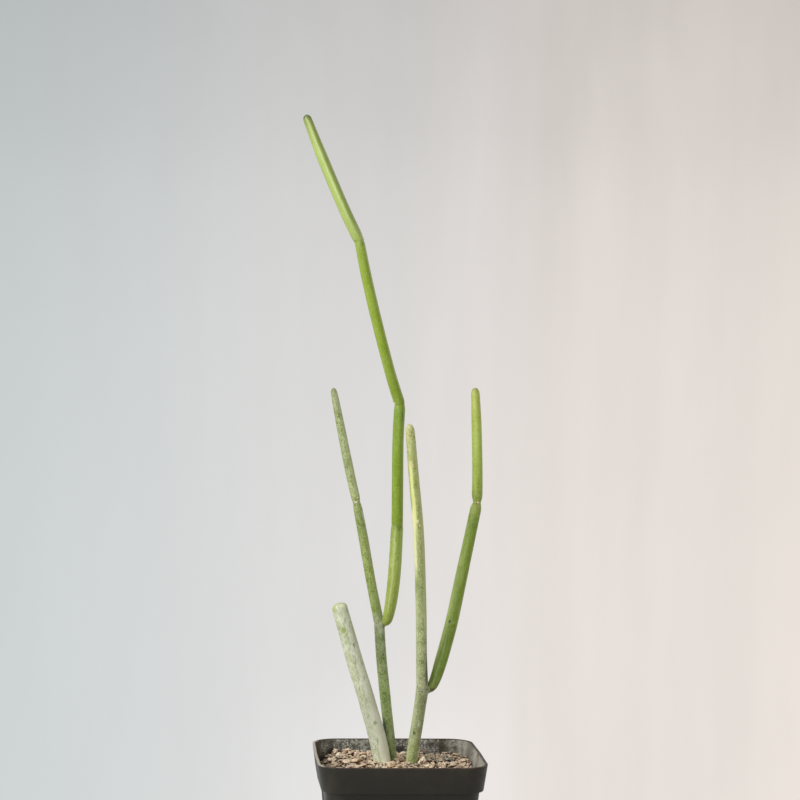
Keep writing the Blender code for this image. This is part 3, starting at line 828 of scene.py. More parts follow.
@dataclass
class Pot:
    """A square moulded pot with a flared band, a shallow panel on each side, and feet under its floor."""

    height: float = 72.0
    mouth_half: float = 35.0
    mouth_corner: float = 10.8
    band_height: float = 11.0
    band_foot_half: float = 33.4
    band_foot_corner: float = 9.6
    body_top_half: float = 31.8
    body_top_corner: float = 8.2
    base_half: float = 25.4
    base_corner: float = 6.0
    wall: float = 1.15
    bow: float = 0.3
    bow_reach: float = 22.0
    bow_inset: float = 3.0
    bow_foot: float = 2.5
    bow_cuts: tuple[float, ...] = (-13.0, 0.0, 13.0)
    floor_raise: float = 2.0
    floor_thickness: float = 1.2
    standing_ring: float = 2.0
    panel_low: float = 5.0
    panel_high: float = 59.6
    panel_depth: float = 0.45
    panel_margin: float = 1.0
    rib_width: float = 1.4
    boss_radius: float = 5.0
    slot_length: float = 12.0
    slot_width: float = 3.5
    slot_reach: float = 19.0
    slot_round: float = 0.49
    corner_steps: int = 10
    edge_round: float = 0.28
    lip_share: float = 0.8
    inside_reach: float = 2.2
    level_normal: float = 0.9
    ledge_clear: float = 2.0
    stack_foot: float = 1000.0
    stack_step: float = 20.0
    outside: PotPlastic = field(default_factory=PotPlastic)
    inside: LimedPlastic = field(default_factory=LimedPlastic)

    @property
    def band_foot(self) -> float:
        """The height of the band's lower edge."""
        return self.height - self.band_height

    @property
    def floor_top(self) -> float:
        """The height of the pot's floor, inside."""
        return self.floor_raise + self.floor_thickness

    def body_at(self, height: float) -> tuple[float, float]:
        """Returns half of the body's side and its corner radius at a height."""
        share = height / self.band_foot
        half = self.base_half + (self.body_top_half - self.base_half) * share
        return half, self.base_corner + (self.body_top_corner - self.base_corner) * share

    def band_at(self, height: float) -> tuple[float, float]:
        """Returns half of the band's side and its corner radius at a height."""
        share = (height - self.band_foot) / self.band_height
        half = self.band_foot_half + (self.mouth_half - self.band_foot_half) * share
        return half, self.band_foot_corner + (self.mouth_corner - self.band_foot_corner) * share

    def stations(self) -> list[tuple[float, float, float]]:
        """Returns the outlines that the shell runs through, from under the floor to its top side.

        Returns:
            Half of the side, the corner radius and the height of each.
        """
        ledge = self.band_foot + self.wall
        under = (self.base_half - self.standing_ring, self.base_corner - self.standing_ring)
        found = [(*under, self.floor_raise), (*under, 0.0)]
        for height in (0.0, self.panel_low, self.panel_high, self.band_foot):
            found.append((*self.body_at(height), height))
        for height in (self.band_foot, self.height):
            found.append((*self.band_at(height), height))
        for half, corner, height in (
            (*self.band_at(self.height), self.height),
            (*self.band_at(ledge), ledge),
            (*self.body_at(ledge), ledge),
            (*self.body_at(self.floor_top), self.floor_top),
        ):
            found.append((half - self.wall, corner - self.wall, height))
        return found

    def build(self) -> bpy.types.Object:
        """Models and dresses the pot.

        Returns:
            The finished pot, which stands for its CAD node.
        """
        pot = self._shell()
        self._sink_panels(pot)
        self._bow_sides(pot)
        face_outwards(pot)
        modify(pot, "BEVEL", width=self.edge_round * MM, segments=3, limit_method="ANGLE",
               angle_limit=math.radians(50), harden_normals=False)
        self._underside(pot)
        self._dress(pot)
        shade(pot, angle=32)
        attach(pot, BODY)
        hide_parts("pot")
        return pot

    def _shell(self) -> bpy.types.Object:
        """Returns the shell: rounded outlines bridged in a tall stack, which is then let down to size."""
        stations = self.stations()
        levels = [self.stack_foot + self.stack_step * number for number in range(len(stations))]
        bpy.ops.object.select_all(action="DESELECT")
        bpy.ops.mesh.primitive_plane_add(size=2 * stations[0][0] * MM, location=(0, 0, levels[0] * MM))
        pot = new_from_primitive("square_pot")
        settle(pot)
        with editing(pot):
            bpy.ops.mesh.select_all(action="SELECT")
            self._round_corners(stations[0][1])
            for (half, corner, _), level in zip(stations[1:], levels[1:]):
                bpy.ops.mesh.select_all(action="DESELECT")
                bpy.ops.mesh.primitive_plane_add(size=2 * half * MM, location=(0, 0, level * MM))
                self._round_corners(corner)
            for pair in zip(levels, levels[1:]):
                self._choose_outlines(pot, pair)
                bpy.ops.mesh.bridge_edge_loops()
            for end in (levels[0], levels[-1]):
                self._choose_outlines(pot, (end,))
                bpy.ops.mesh.edge_face_add()
            for (_, _, height), level in zip(stations, levels):
                choose_points(pot, lambda place: abs(place.z - level) < NEAR)
                bpy.ops.transform.translate(value=(0, 0, (height - level) * MM))
        return pot

    def _round_corners(self, corner: float) -> None:
        """Rounds the chosen square's corners and leaves only its outline."""
        bpy.ops.mesh.bevel(offset=corner * MM, segments=self.corner_steps, affect="VERTICES")
        bpy.ops.mesh.delete(type="ONLY_FACE")

    @staticmethod
    def _choose_outlines(pot: bpy.types.Object, levels: Sequence[float]) -> None:
        """Chooses the outlines at these levels of the stack, in edit mode."""
        bpy.context.tool_settings.mesh_select_mode = (False, True, False)
        with choosing(pot) as mesh:
            for edge in mesh.edges:
                heights = [vertex.co.z / MM for vertex in edge.verts]
                edge.select_set(
                    any(max(abs(height - level) for height in heights) < NEAR for level in levels)
                )

    def _sink_panels(self, pot: bpy.types.Object) -> None:
        """Sinks a shallow panel into the flat of each side."""

        def on_a_side(middle: Vector) -> bool:
            """Tells whether a face is the tall flat of a side, on the outside."""
            outside = max(abs(middle.x), abs(middle.y)) > self.body_at(middle.z)[0] - self.wall / 2
            flat = min(abs(middle.x), abs(middle.y)) < NEAR
            return outside and flat and self.panel_low < middle.z < self.panel_high

        with editing(pot, "FACE"):
            choose_faces(pot, on_a_side)
            bpy.ops.mesh.normals_make_consistent(inside=False)
            choose_faces(pot, on_a_side)
            bpy.ops.mesh.inset(
                thickness=self.panel_margin * MM, depth=-self.panel_depth * MM, use_individual=True
            )

    def _bow_sides(self, pot: bpy.types.Object) -> None:
        """Lets each side bulge a little at its middle."""
        with editing(pot):
            for normal in ((1, 0, 0), (0, 1, 0)):
                for offset in self.bow_cuts:
                    bpy.ops.mesh.select_all(action="SELECT")
                    middle = tuple(offset * MM * part for part in normal)
                    bpy.ops.mesh.bisect(plane_co=middle, plane_no=normal)
            for axis, sign in ((0, 1), (0, -1), (1, 1), (1, -1)):
                other = 1 - axis
                choose_points(
                    pot, lambda p: abs(p[other]) < NEAR / 2
                    and p[axis] * sign > self.base_half - self.bow_inset and p.z > self.bow_foot
                )
                shift = [0.0, 0.0, 0.0]
                shift[axis] = sign * self.bow * MM
                bpy.ops.transform.translate(
                    value=shift, use_proportional_edit=True, proportional_edit_falloff="SMOOTH",
                    proportional_size=self.bow_reach * MM,
                )

    def _underside(self, pot: bpy.types.Object) -> None:
        """Adds the ribs and boss under the floor, and cuts the drain slots."""
        reach = 2 * (self.base_half - self.standing_ring / 2)
        tall = self.floor_raise + self.floor_thickness / 2
        for size in ((reach, self.rib_width), (self.rib_width, reach)):
            bpy.ops.mesh.primitive_cube_add(size=1, location=(0, 0, tall / 2 * MM))
            tool = new_from_primitive("rib")
            tool.scale = (size[0] * MM, size[1] * MM, tall * MM)
            settle(tool)
            self._join(pot, tool, "UNION")
        bpy.ops.mesh.primitive_cylinder_add(
            vertices=32, radius=self.boss_radius * MM, depth=tall * MM, location=(0, 0, tall / 2 * MM)
        )
        self._join(pot, new_from_primitive("boss"), "UNION")
        for quarter in range(4):
            self._join(pot, self._slot(math.pi / 4 + math.pi / 2 * quarter), "DIFFERENCE")

    def _slot(self, turn: float) -> bpy.types.Object:
        """Returns the cutter of one drain slot, which points out at this turn."""
        bpy.ops.mesh.primitive_cube_add(size=1, location=(0, 0, 0))
        tool = new_from_primitive("slot")
        tool.scale = (self.slot_length * MM, self.slot_width * MM, 4 * self.floor_thickness * MM)
        settle(tool)
        with editing(tool, "EDGE"):
            with choosing(tool) as mesh:
                for edge in mesh.edges:
                    first, second = (vertex.co for vertex in edge.verts)
                    edge.select_set(abs(first.z - second.z) > MM)
            bpy.ops.mesh.bevel(offset=self.slot_width * self.slot_round * MM, segments=6, affect="EDGES")
        tool.location = (
            math.cos(turn) * self.slot_reach * MM, math.sin(turn) * self.slot_reach * MM,
            (self.floor_raise + self.floor_thickness / 2) * MM,
        )
        tool.rotation_euler = (0, 0, turn)
        settle(tool)
        return tool

    @staticmethod
    def _join(pot: bpy.types.Object, tool: bpy.types.Object, operation: str) -> None:
        """Applies a Boolean of the pot with a tool, and throws the tool away."""
        bpy.context.view_layer.update()
        modify(pot, "BOOLEAN", operation=operation, object=tool, solver="EXACT")
        bpy.data.objects.remove(tool)

    def _dress(self, pot: bpy.types.Object) -> None:
        """Gives the pot its outside finish, and its inside walls the limed one."""
        dress(pot, self.outside.material(), self.inside.material())
        for face in pot.data.polygons:
            middle = face.center / MM
            flat = Vector((middle.x, middle.y, 0))
            half = self.band_at(middle.z)[0] if middle.z > self.band_foot else self.body_at(middle.z)[0]
            reach = max(abs(middle.x), abs(middle.y))
            at_wall = reach > half - self.inside_reach * self.wall - self.mouth_corner
            below_lip = middle.z < self.height - self.edge_round * self.lip_share
            inner = face.normal.dot(flat) < 0 and at_wall and middle.z > self.floor_top and below_lip
            face.material_index = 1 if inner or self._is_floor(middle, face.normal) else 0

    def _is_floor(self, middle: Vector, normal: Vector) -> bool:
        """Tells whether a face belongs to the floor or the ledge inside."""
        level = normal.z > self.level_normal and middle.z < self.height - self.ledge_clear
        return level and max(abs(middle.x), abs(middle.y)) < self.band_at(middle.z)[0] - self.wall / 2


# ---- The stems.


TAPER_START = 0.15  # The share of its slope that a taper has already climbed at the joint.


class EndForm(Enum):
    """How an internode closes in on the joint at its end."""

    OPEN = "open"
    ROUND = "round"
    TAPER = "taper"

    def ease(self, share: float) -> float:
        """Returns how much of its full width an internode has at a share of the end's reach."""
        if self is EndForm.ROUND:
            return math.sqrt(max(0.0, 1 - (1 - share) ** 2))
        if self is EndForm.TAPER:
            return smooth_step(TAPER_START + (1 - TAPER_START) * share)
        return 1.0


@dataclass(frozen=True)
class End:
    """An internode's end: its form, the width right at the joint, and how far the form reaches."""

    form: EndForm = EndForm.OPEN
    neck: float = 0.0
    reach: float = 0.0


RING_STEPS = (0.0, 0.1, 0.25, 0.5, 0.9, 1.5, 2.3, 3.2, 4.4)
RING_SPACING = 3.2


@dataclass(frozen=True)
class Internode:
    """One stretch of stem: points along its middle, its width at each, and its two ends."""

    points: tuple[Point, ...]
    widths: tuple[float, ...]
    foot: End = End()
    top: End = End()
    samples: int = 24

    def line(self) -> list[Vector]:
        """Returns closely spaced places on the smooth middle line."""
        points = [Vector(point) for point in self.points]
        places = []
        for start in range(len(points) - 1):
            a, b = points[start], points[start + 1]
            before = points[start - 1] if start else a * 2 - b
            after = points[start + 2] if start + 2 < len(points) else b * 2 - a
            for step in range(self.samples):
                t = step / self.samples
                places.append(0.5 * (
                    2 * a + (b - before) * t + (2 * before - 5 * a + 4 * b - after) * t**2
                    + (3 * a - before - 3 * b + after) * t**3
                ))
        return [*places, points[-1]]

    def width_stations(self) -> list[tuple[float, float]]:
        """Returns how far along the line each given point lies, with the width there."""
        line = self.line()
        reached = [0.0]
        for first, second in zip(line, line[1:]):
            reached.append(reached[-1] + (second - first).length)
        return [(reached[index * self.samples], width) for index, width in enumerate(self.widths)]

    def profile(self) -> list[tuple[float, float]]:
        """Returns the stem's radius at rings that are close at the joints and wide apart between them.

        Returns:
            The distance from the foot and the radius there, for each ring.
        """
        stations = self.width_stations()
        length = stations[-1][0]
        plain = length - 2 * RING_STEPS[-1]
        count = max(2, round(plain / RING_SPACING))
        middle = [RING_STEPS[-1] + plain * step / count for step in range(1, count)]
        rings = [*RING_STEPS, *middle, *(length - reach for reach in reversed(RING_STEPS))]
        return [(distance, self.radius(distance, stations)) for distance in rings]

    def radius(self, distance: float, stations: list[tuple[float, float]]) -> float:
        """Returns the radius at a distance from the foot, between these stations."""
        length, width = stations[-1]
        for (start, first), (end, second) in zip(stations, stations[1:]):
            if start <= distance <= end:
                width = first + (second - first) * (distance - start) / (end - start)
                break
        for end, gap in ((self.foot, distance), (self.top, length - distance)):
            if end.form is not EndForm.OPEN and gap < end.reach:
                width = end.neck + (width - end.neck) * end.form.ease(gap / end.reach)
        return width / 2


@dataclass
class Stem:
    """A stem that grew in one piece, modelled straight and then bent along its route."""

    piece: str
    node: str
    slot: str
    internodes: tuple[Internode, ...]
    tip: float
    skin: StemSkin
    lumps: float = 0.1
    sides: int = 16
    tip_steps: int = 5
    tip_open: float = 0.35
    tip_clear: float = 1.05
    step: float = 1.2

    def route(self) -> list[Vector]:
        """Returns the whole stem's middle line, evenly spaced, its turns at the joints eased a little."""
        dense: list[Vector] = []
        for internode in self.internodes:
            line = internode.line()
            dense += line if not dense else line[1:]
        places = [dense[0]]
        left = self.step
        for first, second in zip(dense, dense[1:]):
            span = (second - first).length
            done = 0.0
            while span - done >= left:
                done += left
                left = self.step
                places.append(first.lerp(second, done / span))
            left -= span - done
        places.append(dense[-1])
        eased = [(a + b * 2 + c) / 4 for a, b, c in zip(places, places[1:], places[2:])]
        return [places[0], *eased, places[-1]]

    def centre(self, height: float) -> Vector:
        """Returns the middle of the stem at a height."""
        route = self.route()
        for first, second in zip(route, route[1:]):
            if first.z <= height <= second.z and second.z > first.z:
                return first.lerp(second, (height - first.z) / (second.z - first.z))
        return route[0] if height < route[0].z else route[-1]

    def surface_point(self, height: float, bearing: float) -> Vector:
        """Returns the place on the skin at a height and bearing, in millimetres."""
        turn = math.radians(bearing)
        outward = Vector((math.sin(turn), -math.cos(turn), 0))
        return self.centre(height) + outward * self.radius_at(height)

    def radius_at(self, height: float) -> float:
        """Returns the stem's radius at about a height."""
        for internode in self.internodes:
            low, high = internode.points[0][2], internode.points[-1][2]
            if low <= height <= high:
                stations = internode.width_stations()
                return internode.radius((height - low) / (high - low) * stations[-1][0], stations)
        return self.internodes[-1].widths[-1] / 2

    def rings(self) -> list[tuple[float, float]]:
        """Returns the distance along the whole stem and the radius of every ring, its tip included."""
        found: list[tuple[float, float]] = []
        start = 0.0
        for internode in self.internodes:
            profile = internode.profile()
            found += [(start + distance, radius) for distance, radius in profile[1 if found else 0:]]
            start += profile[-1][0]
        radius = found[-1][1]
        reach = radius * self.tip
        found = [(distance, wide) for distance, wide in found if distance < start - reach * self.tip_clear]
        for step in range(self.tip_steps + 1):
            angle = math.pi / 2 * step / (self.tip_steps + self.tip_open)
            found.append((start - reach * (1 - math.sin(angle)), radius * math.cos(angle)))
        return found

    def build(self) -> bpy.types.Object:
        """Models and dresses the stem.

        Returns:
            The finished stem, which stands for its CAD node.
        """
        stem = new_tube(self.piece, self.sides, self.rings())
        self._bend(stem)
        modify(stem, "SUBSURF", levels=1, render_levels=1)
        make_lumpy(stem, "stem_lumps", size=9.0, depth=self.lumps)
        face_outwards(stem)
        shade(stem, angle=60)
        write_skin(stem, self._skin_places(stem))
        dress(stem, self.skin.material(self.surface_point))
        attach(stem, BODY)
        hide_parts(self.node)
        return stem

    def _bend(self, stem: bpy.types.Object) -> None:
        """Bends a straight stem along its route."""
        data = bpy.data.curves.new("route", "CURVE")
        data.dimensions = "3D"
        data.twist_mode = "MINIMUM"
        route = self.route()
        spline = data.splines.new("POLY")
        spline.points.add(len(route) - 1)
        for point, place in zip(spline.points, route):
            point.co = (*(place * MM), 1.0)
        guide = new_object("route", data)
        modify(stem, "CURVE", object=guide, deform_axis="POS_Z")
        bpy.data.objects.remove(guide)

    def _skin_places(self, stem: bpy.types.Object) -> list[Point]:
        """Returns how far each vertex is from the stem's middle, two ways, and its height."""
        route = self.route()
        heights = [place.z for place in route]
        places = []
        for vertex in stem.data.vertices:
            place = vertex.co / MM
            low = next((i for i, height in enumerate(heights[1:]) if height >= place.z), len(route) - 2)
            first, second = route[low], route[low + 1]
            rise = max(second.z - first.z, 0.01)
            middle = first.lerp(second, min(max((place.z - first.z) / rise, 0.0), 1.0))
            places.append((place.x - middle.x, place.y - middle.y, place.z))
        return places


DARK_SCAR = (64, 80, 36)

OLD_STEM_SKIN = StemSkin(
    "old_stem_skin",
    ((60, 196, 202, 162), (75, 204, 208, 176), (88, 192, 197, 164), (100, 194, 198, 160),
     (122, 192, 198, 160), (131, 192, 199, 152), (137, 186, 196, 140)),
    bloom=tint(226, 229, 208),
    bloom_amount=((60, 0.8), (72, 0.9), (84, 0.7), (100, 0.85), (118, 0.75), (130, 0.85), (138, 0.6)),
    fleck=tint(92, 106, 62), fleck_amount=0.42, grain=2.1, streak=0.28, mottle=0.06, roughness=0.52,
    relief=0.06,
    marks=(
        Mark(132.9, -55, 2.4, 3.6, (166, 184, 92), 0.65, 0.5),
        Mark(129.4, -88, 1.2, 6, (184, 198, 116), 0.6, 0.5),
        Mark(135.2, 20, 4.6, 0.9, (196, 150, 124), 0.75, 0.6),
        Mark(123.8, -18, 2.8, 3, (148, 166, 84), 0.85, 0.4),
        Mark(122.3, -4, 1.5, 2.4, (158, 172, 96), 0.7, 0.6),
        Mark(117.6, 26, 1.2, 2.6, (104, 120, 70), 0.65, 0.9),
        Mark(84.6, 10, 1.8, 2.4, (134, 154, 98), 0.75, 0.7),
        Mark(76.8, -6, 1.1, 3.2, (156, 176, 116), 0.75, 0.6),
        Mark(90.6, -80, 1, 1.2, (104, 116, 70), 0.95),
        Mark(67.6, 10, 9, 0.9, (176, 128, 84), 0.6),
        Mark(104, 30, 0.6, 3.6, (134, 144, 100), 0.6, 0.6),
        Mark(99, -30, 0.6, 3.4, (136, 146, 104), 0.6, 0.6),
        Mark(111, 5, 0.6, 4.2, (138, 148, 106), 0.6, 0.6),
        Mark(128.2, 12, 0.6, 3.4, (122, 134, 84), 0.7, 0.7),
        Mark(126.4, 40, 0.5, 3, (122, 134, 84), 0.7, 0.7),
    ),
    # Painted light: the shaded right side and the foot are made paler, as if lit.
    shading_stripes=(
        ShadingStripe(50, 112, 0.2, 3, (234, 236, 208), 0.5, 1),
        ShadingStripe(44, 94, -0.6, 3.4, (240, 240, 216), 0.55, 0.9),
        ShadingStripe(96, 142, 0.4, 2.5, (232, 235, 208), 0.5, 0.8),
    ),
)

OLD_STEM = Stem(
    "old_waxy_stem", "old_stem", "waxy_old_stem",
    (
        Internode(
            ((-4.6, 4.6, 44), (-6.4, 4, 68.5), (-13, 2, 92.5), (-18.5, 1, 109.5), (-26.3, -0.5, 135.1)),
            (7.4, 7.5, 7.2, 7.1, 6.6),
        ),
    ),
    0.62,
    OLD_STEM_SKIN,
    lumps=0.2,
    sides=20,
)

LEFT_STEM_SKIN = StemSkin(
    "left_stem_skin",
    ((60, 128, 142, 88), (79, 144, 160, 100), (88, 164, 184, 106), (97, 160, 184, 98),
     (105, 158, 174, 104), (114, 140, 154, 92), (121, 132, 148, 92), (125, 146, 156, 112),
     (131, 120, 136, 42), (140, 144, 160, 74), (148, 146, 162, 72), (157, 140, 156, 62),
     (166, 120, 138, 42), (173.5, 140, 154, 78), (179, 154, 166, 96), (192, 150, 164, 98),
     (213, 145, 158, 94), (226, 150, 156, 106)),
    bloom=tint(204, 210, 178),
    bloom_amount=((60, 0.3), (75, 0.4), (100, 0.45), (118, 0.5), (125, 0.7), (131, 0.2),
                  (150, 0.36), (170, 0.36), (180, 0.5), (226, 0.6)),
    fleck=tint(54, 78, 20), fleck_amount=0.86, grain=2.5, mottle=0.3, relief=0.05,
    marks=(
        Mark(125, 20, 5.4, 5, (170, 172, 142), 0.7, 0.6),
        Mark(124.2, 35, 1, 1, (90, 84, 60), 0.7, 0.6),
        Mark(126.3, -5, 0.8, 1, (96, 92, 64), 0.7, 0.6),
        Mark(176.6, -16, 1.8, 1, (230, 224, 184), 0.85, 0.6),
        Mark(171, 55, 1.6, 5, (196, 200, 184), 0.8, 0.4),
        Mark(225.6, 30, 2.6, 1.8, (150, 134, 118), 0.6),
        Mark(112, 20, 0.8, 1, DARK_SCAR),
    ),
    # Painted light and shade: the right side is made paler, as if lit.
    shading_stripes=(
        ShadingStripe(172, 232, 0.5, 9, (204, 206, 156), 0.45, 1.3),
        ShadingStripe(122, 176, 0.9, 9, (182, 190, 134), 0.4, 1.2),
        # Painted shade: the left side of the foot is darkened, where the old stem shades it.
        ShadingStripe(56, 74, -9, -0.3, (30, 34, 14), 0.9, 0.5),
        ShadingStripe(72, 87, -9, -1.1, (30, 36, 14), 0.9, 0.5),
    ),
)

LEFT_STEM = Stem(
    "left_speckled_stem", "left_stem", "grey_green_stem",
    (
        Internode(
            ((-0.6, 9.4, 43), (-1.8, 10, 67.5), (-4.5, 11, 91), (-6.8, 12, 111.5), (-7.8, 12.5, 125)),
            (4.4, 4.6, 4.75, 4.6, 4.5),
            top=End(EndForm.ROUND, 4, 0.9),
        ),
        Internode(
            ((-7.8, 12.5, 125), (-11.4, 14, 142), (-14.8, 16, 160.5), (-18, 17.5, 176.5)),
            (4.4, 4.25, 4.2, 3.9),
            foot=End(EndForm.ROUND, 4, 1.2), top=End(EndForm.TAPER, 3.1, 3),
        ),
        Internode(
            ((-18, 17.5, 176.5), (-21.2, 19, 190), (-24.8, 21, 207), (-28.6, 23, 225.5)),
            (3.95, 4, 3.8, 2.9),
            foot=End(EndForm.TAPER, 3.1, 2.6),
        ),
    ),
    1.6,
    LEFT_STEM_SKIN,
    lumps=0.14,
)

TALL_SHOOT_SKIN = StemSkin(
    "tall_shoot_skin",
    ((124, 142, 158, 54), (130, 143, 159, 54), (135, 145, 160, 60), (147, 148, 164, 64),
     (160, 140, 160, 62), (166, 132, 153, 58), (167.6, 120, 142, 50), (168.5, 118, 144, 14),
     (180, 121, 148, 18), (200, 124, 153, 28), (209, 123, 153, 32), (217, 120, 151, 46),
     (219.6, 122, 146, 20), (238, 129, 154, 20), (251, 134, 158, 20), (264, 137, 163, 28),
     (278, 140, 164, 42), (285.6, 146, 168, 62), (287.6, 166, 184, 98), (302, 172, 191, 100),
     (325, 173, 192, 104), (334, 163, 178, 94), (337.1, 144, 158, 84), (338.3, 82, 92, 52),
     (339.5, 62, 72, 40)),
    bloom=tint(206, 216, 150),
    bloom_amount=((124, 0.2), (160, 0.3), (167, 0.3), (169, 0.1), (218, 0.1), (285, 0.16),
                  (300, 0.12), (340, 0.1)),
    fleck=tint(96, 124, 26), fleck_amount=0.2, grain=1.7, mottle=0.14, banding=(0.2, 0.95, 7),
    roughness=0.34, relief=0.015,
    marks=(
        Mark(336.4, 88, 2.6, 7, (80, 92, 50), 0.9, 0.3),
        Mark(287.3, 68, 1.4, 1.2, (226, 224, 190), 0.9),
        Mark(219.4, -70, 1.8, 1, (206, 212, 176), 0.8),
        Mark(211.2, 35, 0.7, 0.7, (218, 216, 112), 0.95, 0.1),
        Mark(206, 30, 0.6, 0.6, (206, 208, 116), 0.8, 0.1),
        Mark(168, 60, 1.2, 0.8, (228, 226, 196), 0.8),
        Mark(285.6, 40, 3, 3, (104, 126, 40), 0.5, 0.6),
        Mark(286.6, -50, 3, 0.8, (104, 128, 44), 0.5, 0.5),
        Mark(218.4, 10, 3.2, 1.6, (128, 152, 24), 0.8, 0.3),
        Mark(213, 32, 0.9, 7, (70, 100, 40), 0.6, 0.7),
        Mark(167.2, 22, 3.4, 2.4, (104, 128, 22), 0.75, 0.3),
        Mark(165.8, 22, 3.2, 0.6, (84, 102, 36), 0.45, 0.5),
    ),
    # Painted highlights and shade: pale streaks left of the middle, a dark right side near the tip, paler
    # right sides below.
    shading_stripes=(
        ShadingStripe(124, 170, -1.4, -0.7, (206, 214, 154), 0.45, 0.4),
        ShadingStripe(126, 170, 1.3, 9, (182, 200, 104), 0.6, 0.4),
        ShadingStripe(284, 345, 0.5, 9, (116, 134, 54), 0.6, 0.5),
        ShadingStripe(290, 342, -0.6, 0.1, (206, 220, 150), 0.4, 0.5),
        ShadingStripe(222, 286, -2.6, -1.2, (160, 178, 84), 0.4, 0.6),
        ShadingStripe(222, 286, 1.4, 9, (152, 166, 74), 0.5, 0.4),
        ShadingStripe(166, 222, 1.5, 9, (152, 166, 78), 0.5, 0.4),
    ),
)

TALL_SHOOT = Stem(
    "tall_green_shoot", "tall_shoot", "fresh_green_stem",
    (
        Internode(
            ((-5.7, 11, 125), (-4.5, 9, 127.6), (-3.2, 6.6, 136), (-2.2, 4.5, 149), (-1.7, 2, 168)),
            (3.7, 4.6, 5.4, 5.6, 5.3),
            foot=End(EndForm.ROUND, 1.2, 2.6), top=End(EndForm.TAPER, 4.7, 2),
        ),
        Internode(
            ((-1.7, 2, 168), (-2, 0, 184), (-2.3, -2, 204), (-1.9, -3.5, 219)),
            (5, 5, 4.9, 4.8),
            foot=End(EndForm.ROUND, 4.6, 0.9), top=End(EndForm.TAPER, 4.2, 2.6),
        ),
        Internode(
            ((-1.9, -3.5, 219), (-6, -5, 231), (-11.8, -7, 251), (-17, -8.5, 271), (-20.4, -9, 286.5)),
            (4.75, 4.6, 4.6, 4.55, 4.3),
            foot=End(EndForm.ROUND, 4.2, 1.9), top=End(EndForm.TAPER, 4.1, 2.2),
        ),
        Internode(
            ((-20.4, -9, 286.5), (-27.2, -8, 300.5), (-36, -5, 321), (-43.3, -2, 339.4)),
            (4.95, 4.9, 4.75, 3.6),
            foot=End(EndForm.TAPER, 4.2, 3.6),
        ),
    ),
    1.1,
    TALL_SHOOT_SKIN,
    lumps=0.08,
)

RIGHT_STEM_SKIN = StemSkin(
    "right_stem_skin",
    ((60, 156, 168, 104), (70, 156, 166, 104), (79, 152, 160, 110), (86, 150, 158, 110),
     (92.6, 146, 152, 106), (98, 146, 150, 106), (103, 160, 166, 122), (109, 156, 163, 114),
     (122, 160, 170, 112), (134, 161, 171, 110), (146, 158, 170, 104), (159, 162, 172, 104),
     (172, 160, 170, 92), (190, 168, 180, 92), (201, 176, 188, 102), (208, 200, 200, 128),
     (212, 206, 202, 136)),
    bloom=tint(216, 219, 178),
    bloom_amount=((60, 0.4), (90, 0.4), (98, 0.6), (115, 0.5), (150, 0.4), (185, 0.4), (212, 0.45)),
    fleck=tint(84, 100, 38), fleck_amount=0.72, grain=2.4, streak=0.55, relief=0.05,
    marks=(
        Mark(170.4, -6, 1, 1.5, (240, 232, 196), 0.75, 0.5),
        Mark(168.4, 12, 0.7, 1, (232, 224, 184), 0.7, 0.5),
        Mark(194, -22, 1.8, 4, (226, 210, 156), 0.75, 0.6),
        Mark(196.6, -2, 0.9, 1.3, (196, 150, 100), 0.7, 0.5),
        Mark(200.5, -30, 1.4, 2.6, (218, 204, 164), 0.6, 0.6),
        Mark(205.6, 44, 0.8, 1.2, (104, 112, 66), 0.8, 0.5),
        Mark(203.4, 60, 0.7, 1, (112, 118, 68), 0.7, 0.5),
        Mark(79.8, -22, 1.2, 2, DARK_SCAR, 0.85, 0.5),
        Mark(83.5, 12, 1.2, 2.6, (200, 206, 176), 0.7, 0.5),
        Mark(98.4, -10, 5, 1.6, (150, 154, 122), 0.6, 0.6),
        Mark(98.6, 45, 0.9, 0.8, (62, 60, 46), 0.9, 0.3),
        Mark(97.6, -5, 0.7, 0.7, (72, 70, 52), 0.85, 0.3),
        Mark(97.9, -38, 0.7, 0.6, (70, 68, 50), 0.85, 0.3),
        Mark(99.6, -62, 0.8, 0.8, (84, 84, 60), 0.8, 0.4),
        Mark(99.4, 18, 0.6, 0.6, (80, 80, 58), 0.75, 0.3),
        Mark(208.6, 40, 1, 0.8, (120, 90, 60), 0.6, 0.3),
        Mark(206, -80, 1.2, 8, (214, 178, 156), 0.5, 0.5),
        # Painted shade: a dark strip down the stem's right side, above the branch.
        Mark(112, 82, 2.6, 28, (58, 64, 36), 0.75, 0.25),
    ),
    # Painted highlights and light: cream streaks and a paler left side where the lamp falls, and a paler
    # right side.
    shading_stripes=(
        ShadingStripe(160, 198, -1.8, -0.5, (234, 234, 156), 0.85, 0.7),
        ShadingStripe(142, 178, -9, -1.3, (238, 236, 178), 0.85, 0.6),
        ShadingStripe(50, 142, -9, -1.7, (210, 214, 176), 0.3, 0.6),
        ShadingStripe(116, 212, 1, 9, (206, 208, 146), 0.6, 0.6),
    ),
)

RIGHT_STEM = Stem(
    "right_speckled_stem", "right_stem", "grey_green_stem",
    (
        Internode(
            ((4.4, 6, 43), (6.4, 6, 68), (8.3, 5, 82), (9.6, 4, 92.5), (10.3, 3.5, 98.5)),
            (5.1, 5.2, 5.2, 5.15, 5.6),
            top=End(EndForm.ROUND, 5.1, 0.7),
        ),
        Internode(
            ((10.3, 3.5, 98.5), (9.4, 1, 113), (8.6, -2, 133.5), (6.6, -7, 164.5), (3.9, -10.5, 188),
             (1.35, -14, 210.9)),
            (5.4, 4.75, 4.7, 4.65, 4.5, 3.9),
            foot=End(EndForm.ROUND, 5.1, 0.9),
        ),
    ),
    1.75,
    RIGHT_STEM_SKIN,
    lumps=0.14,
)

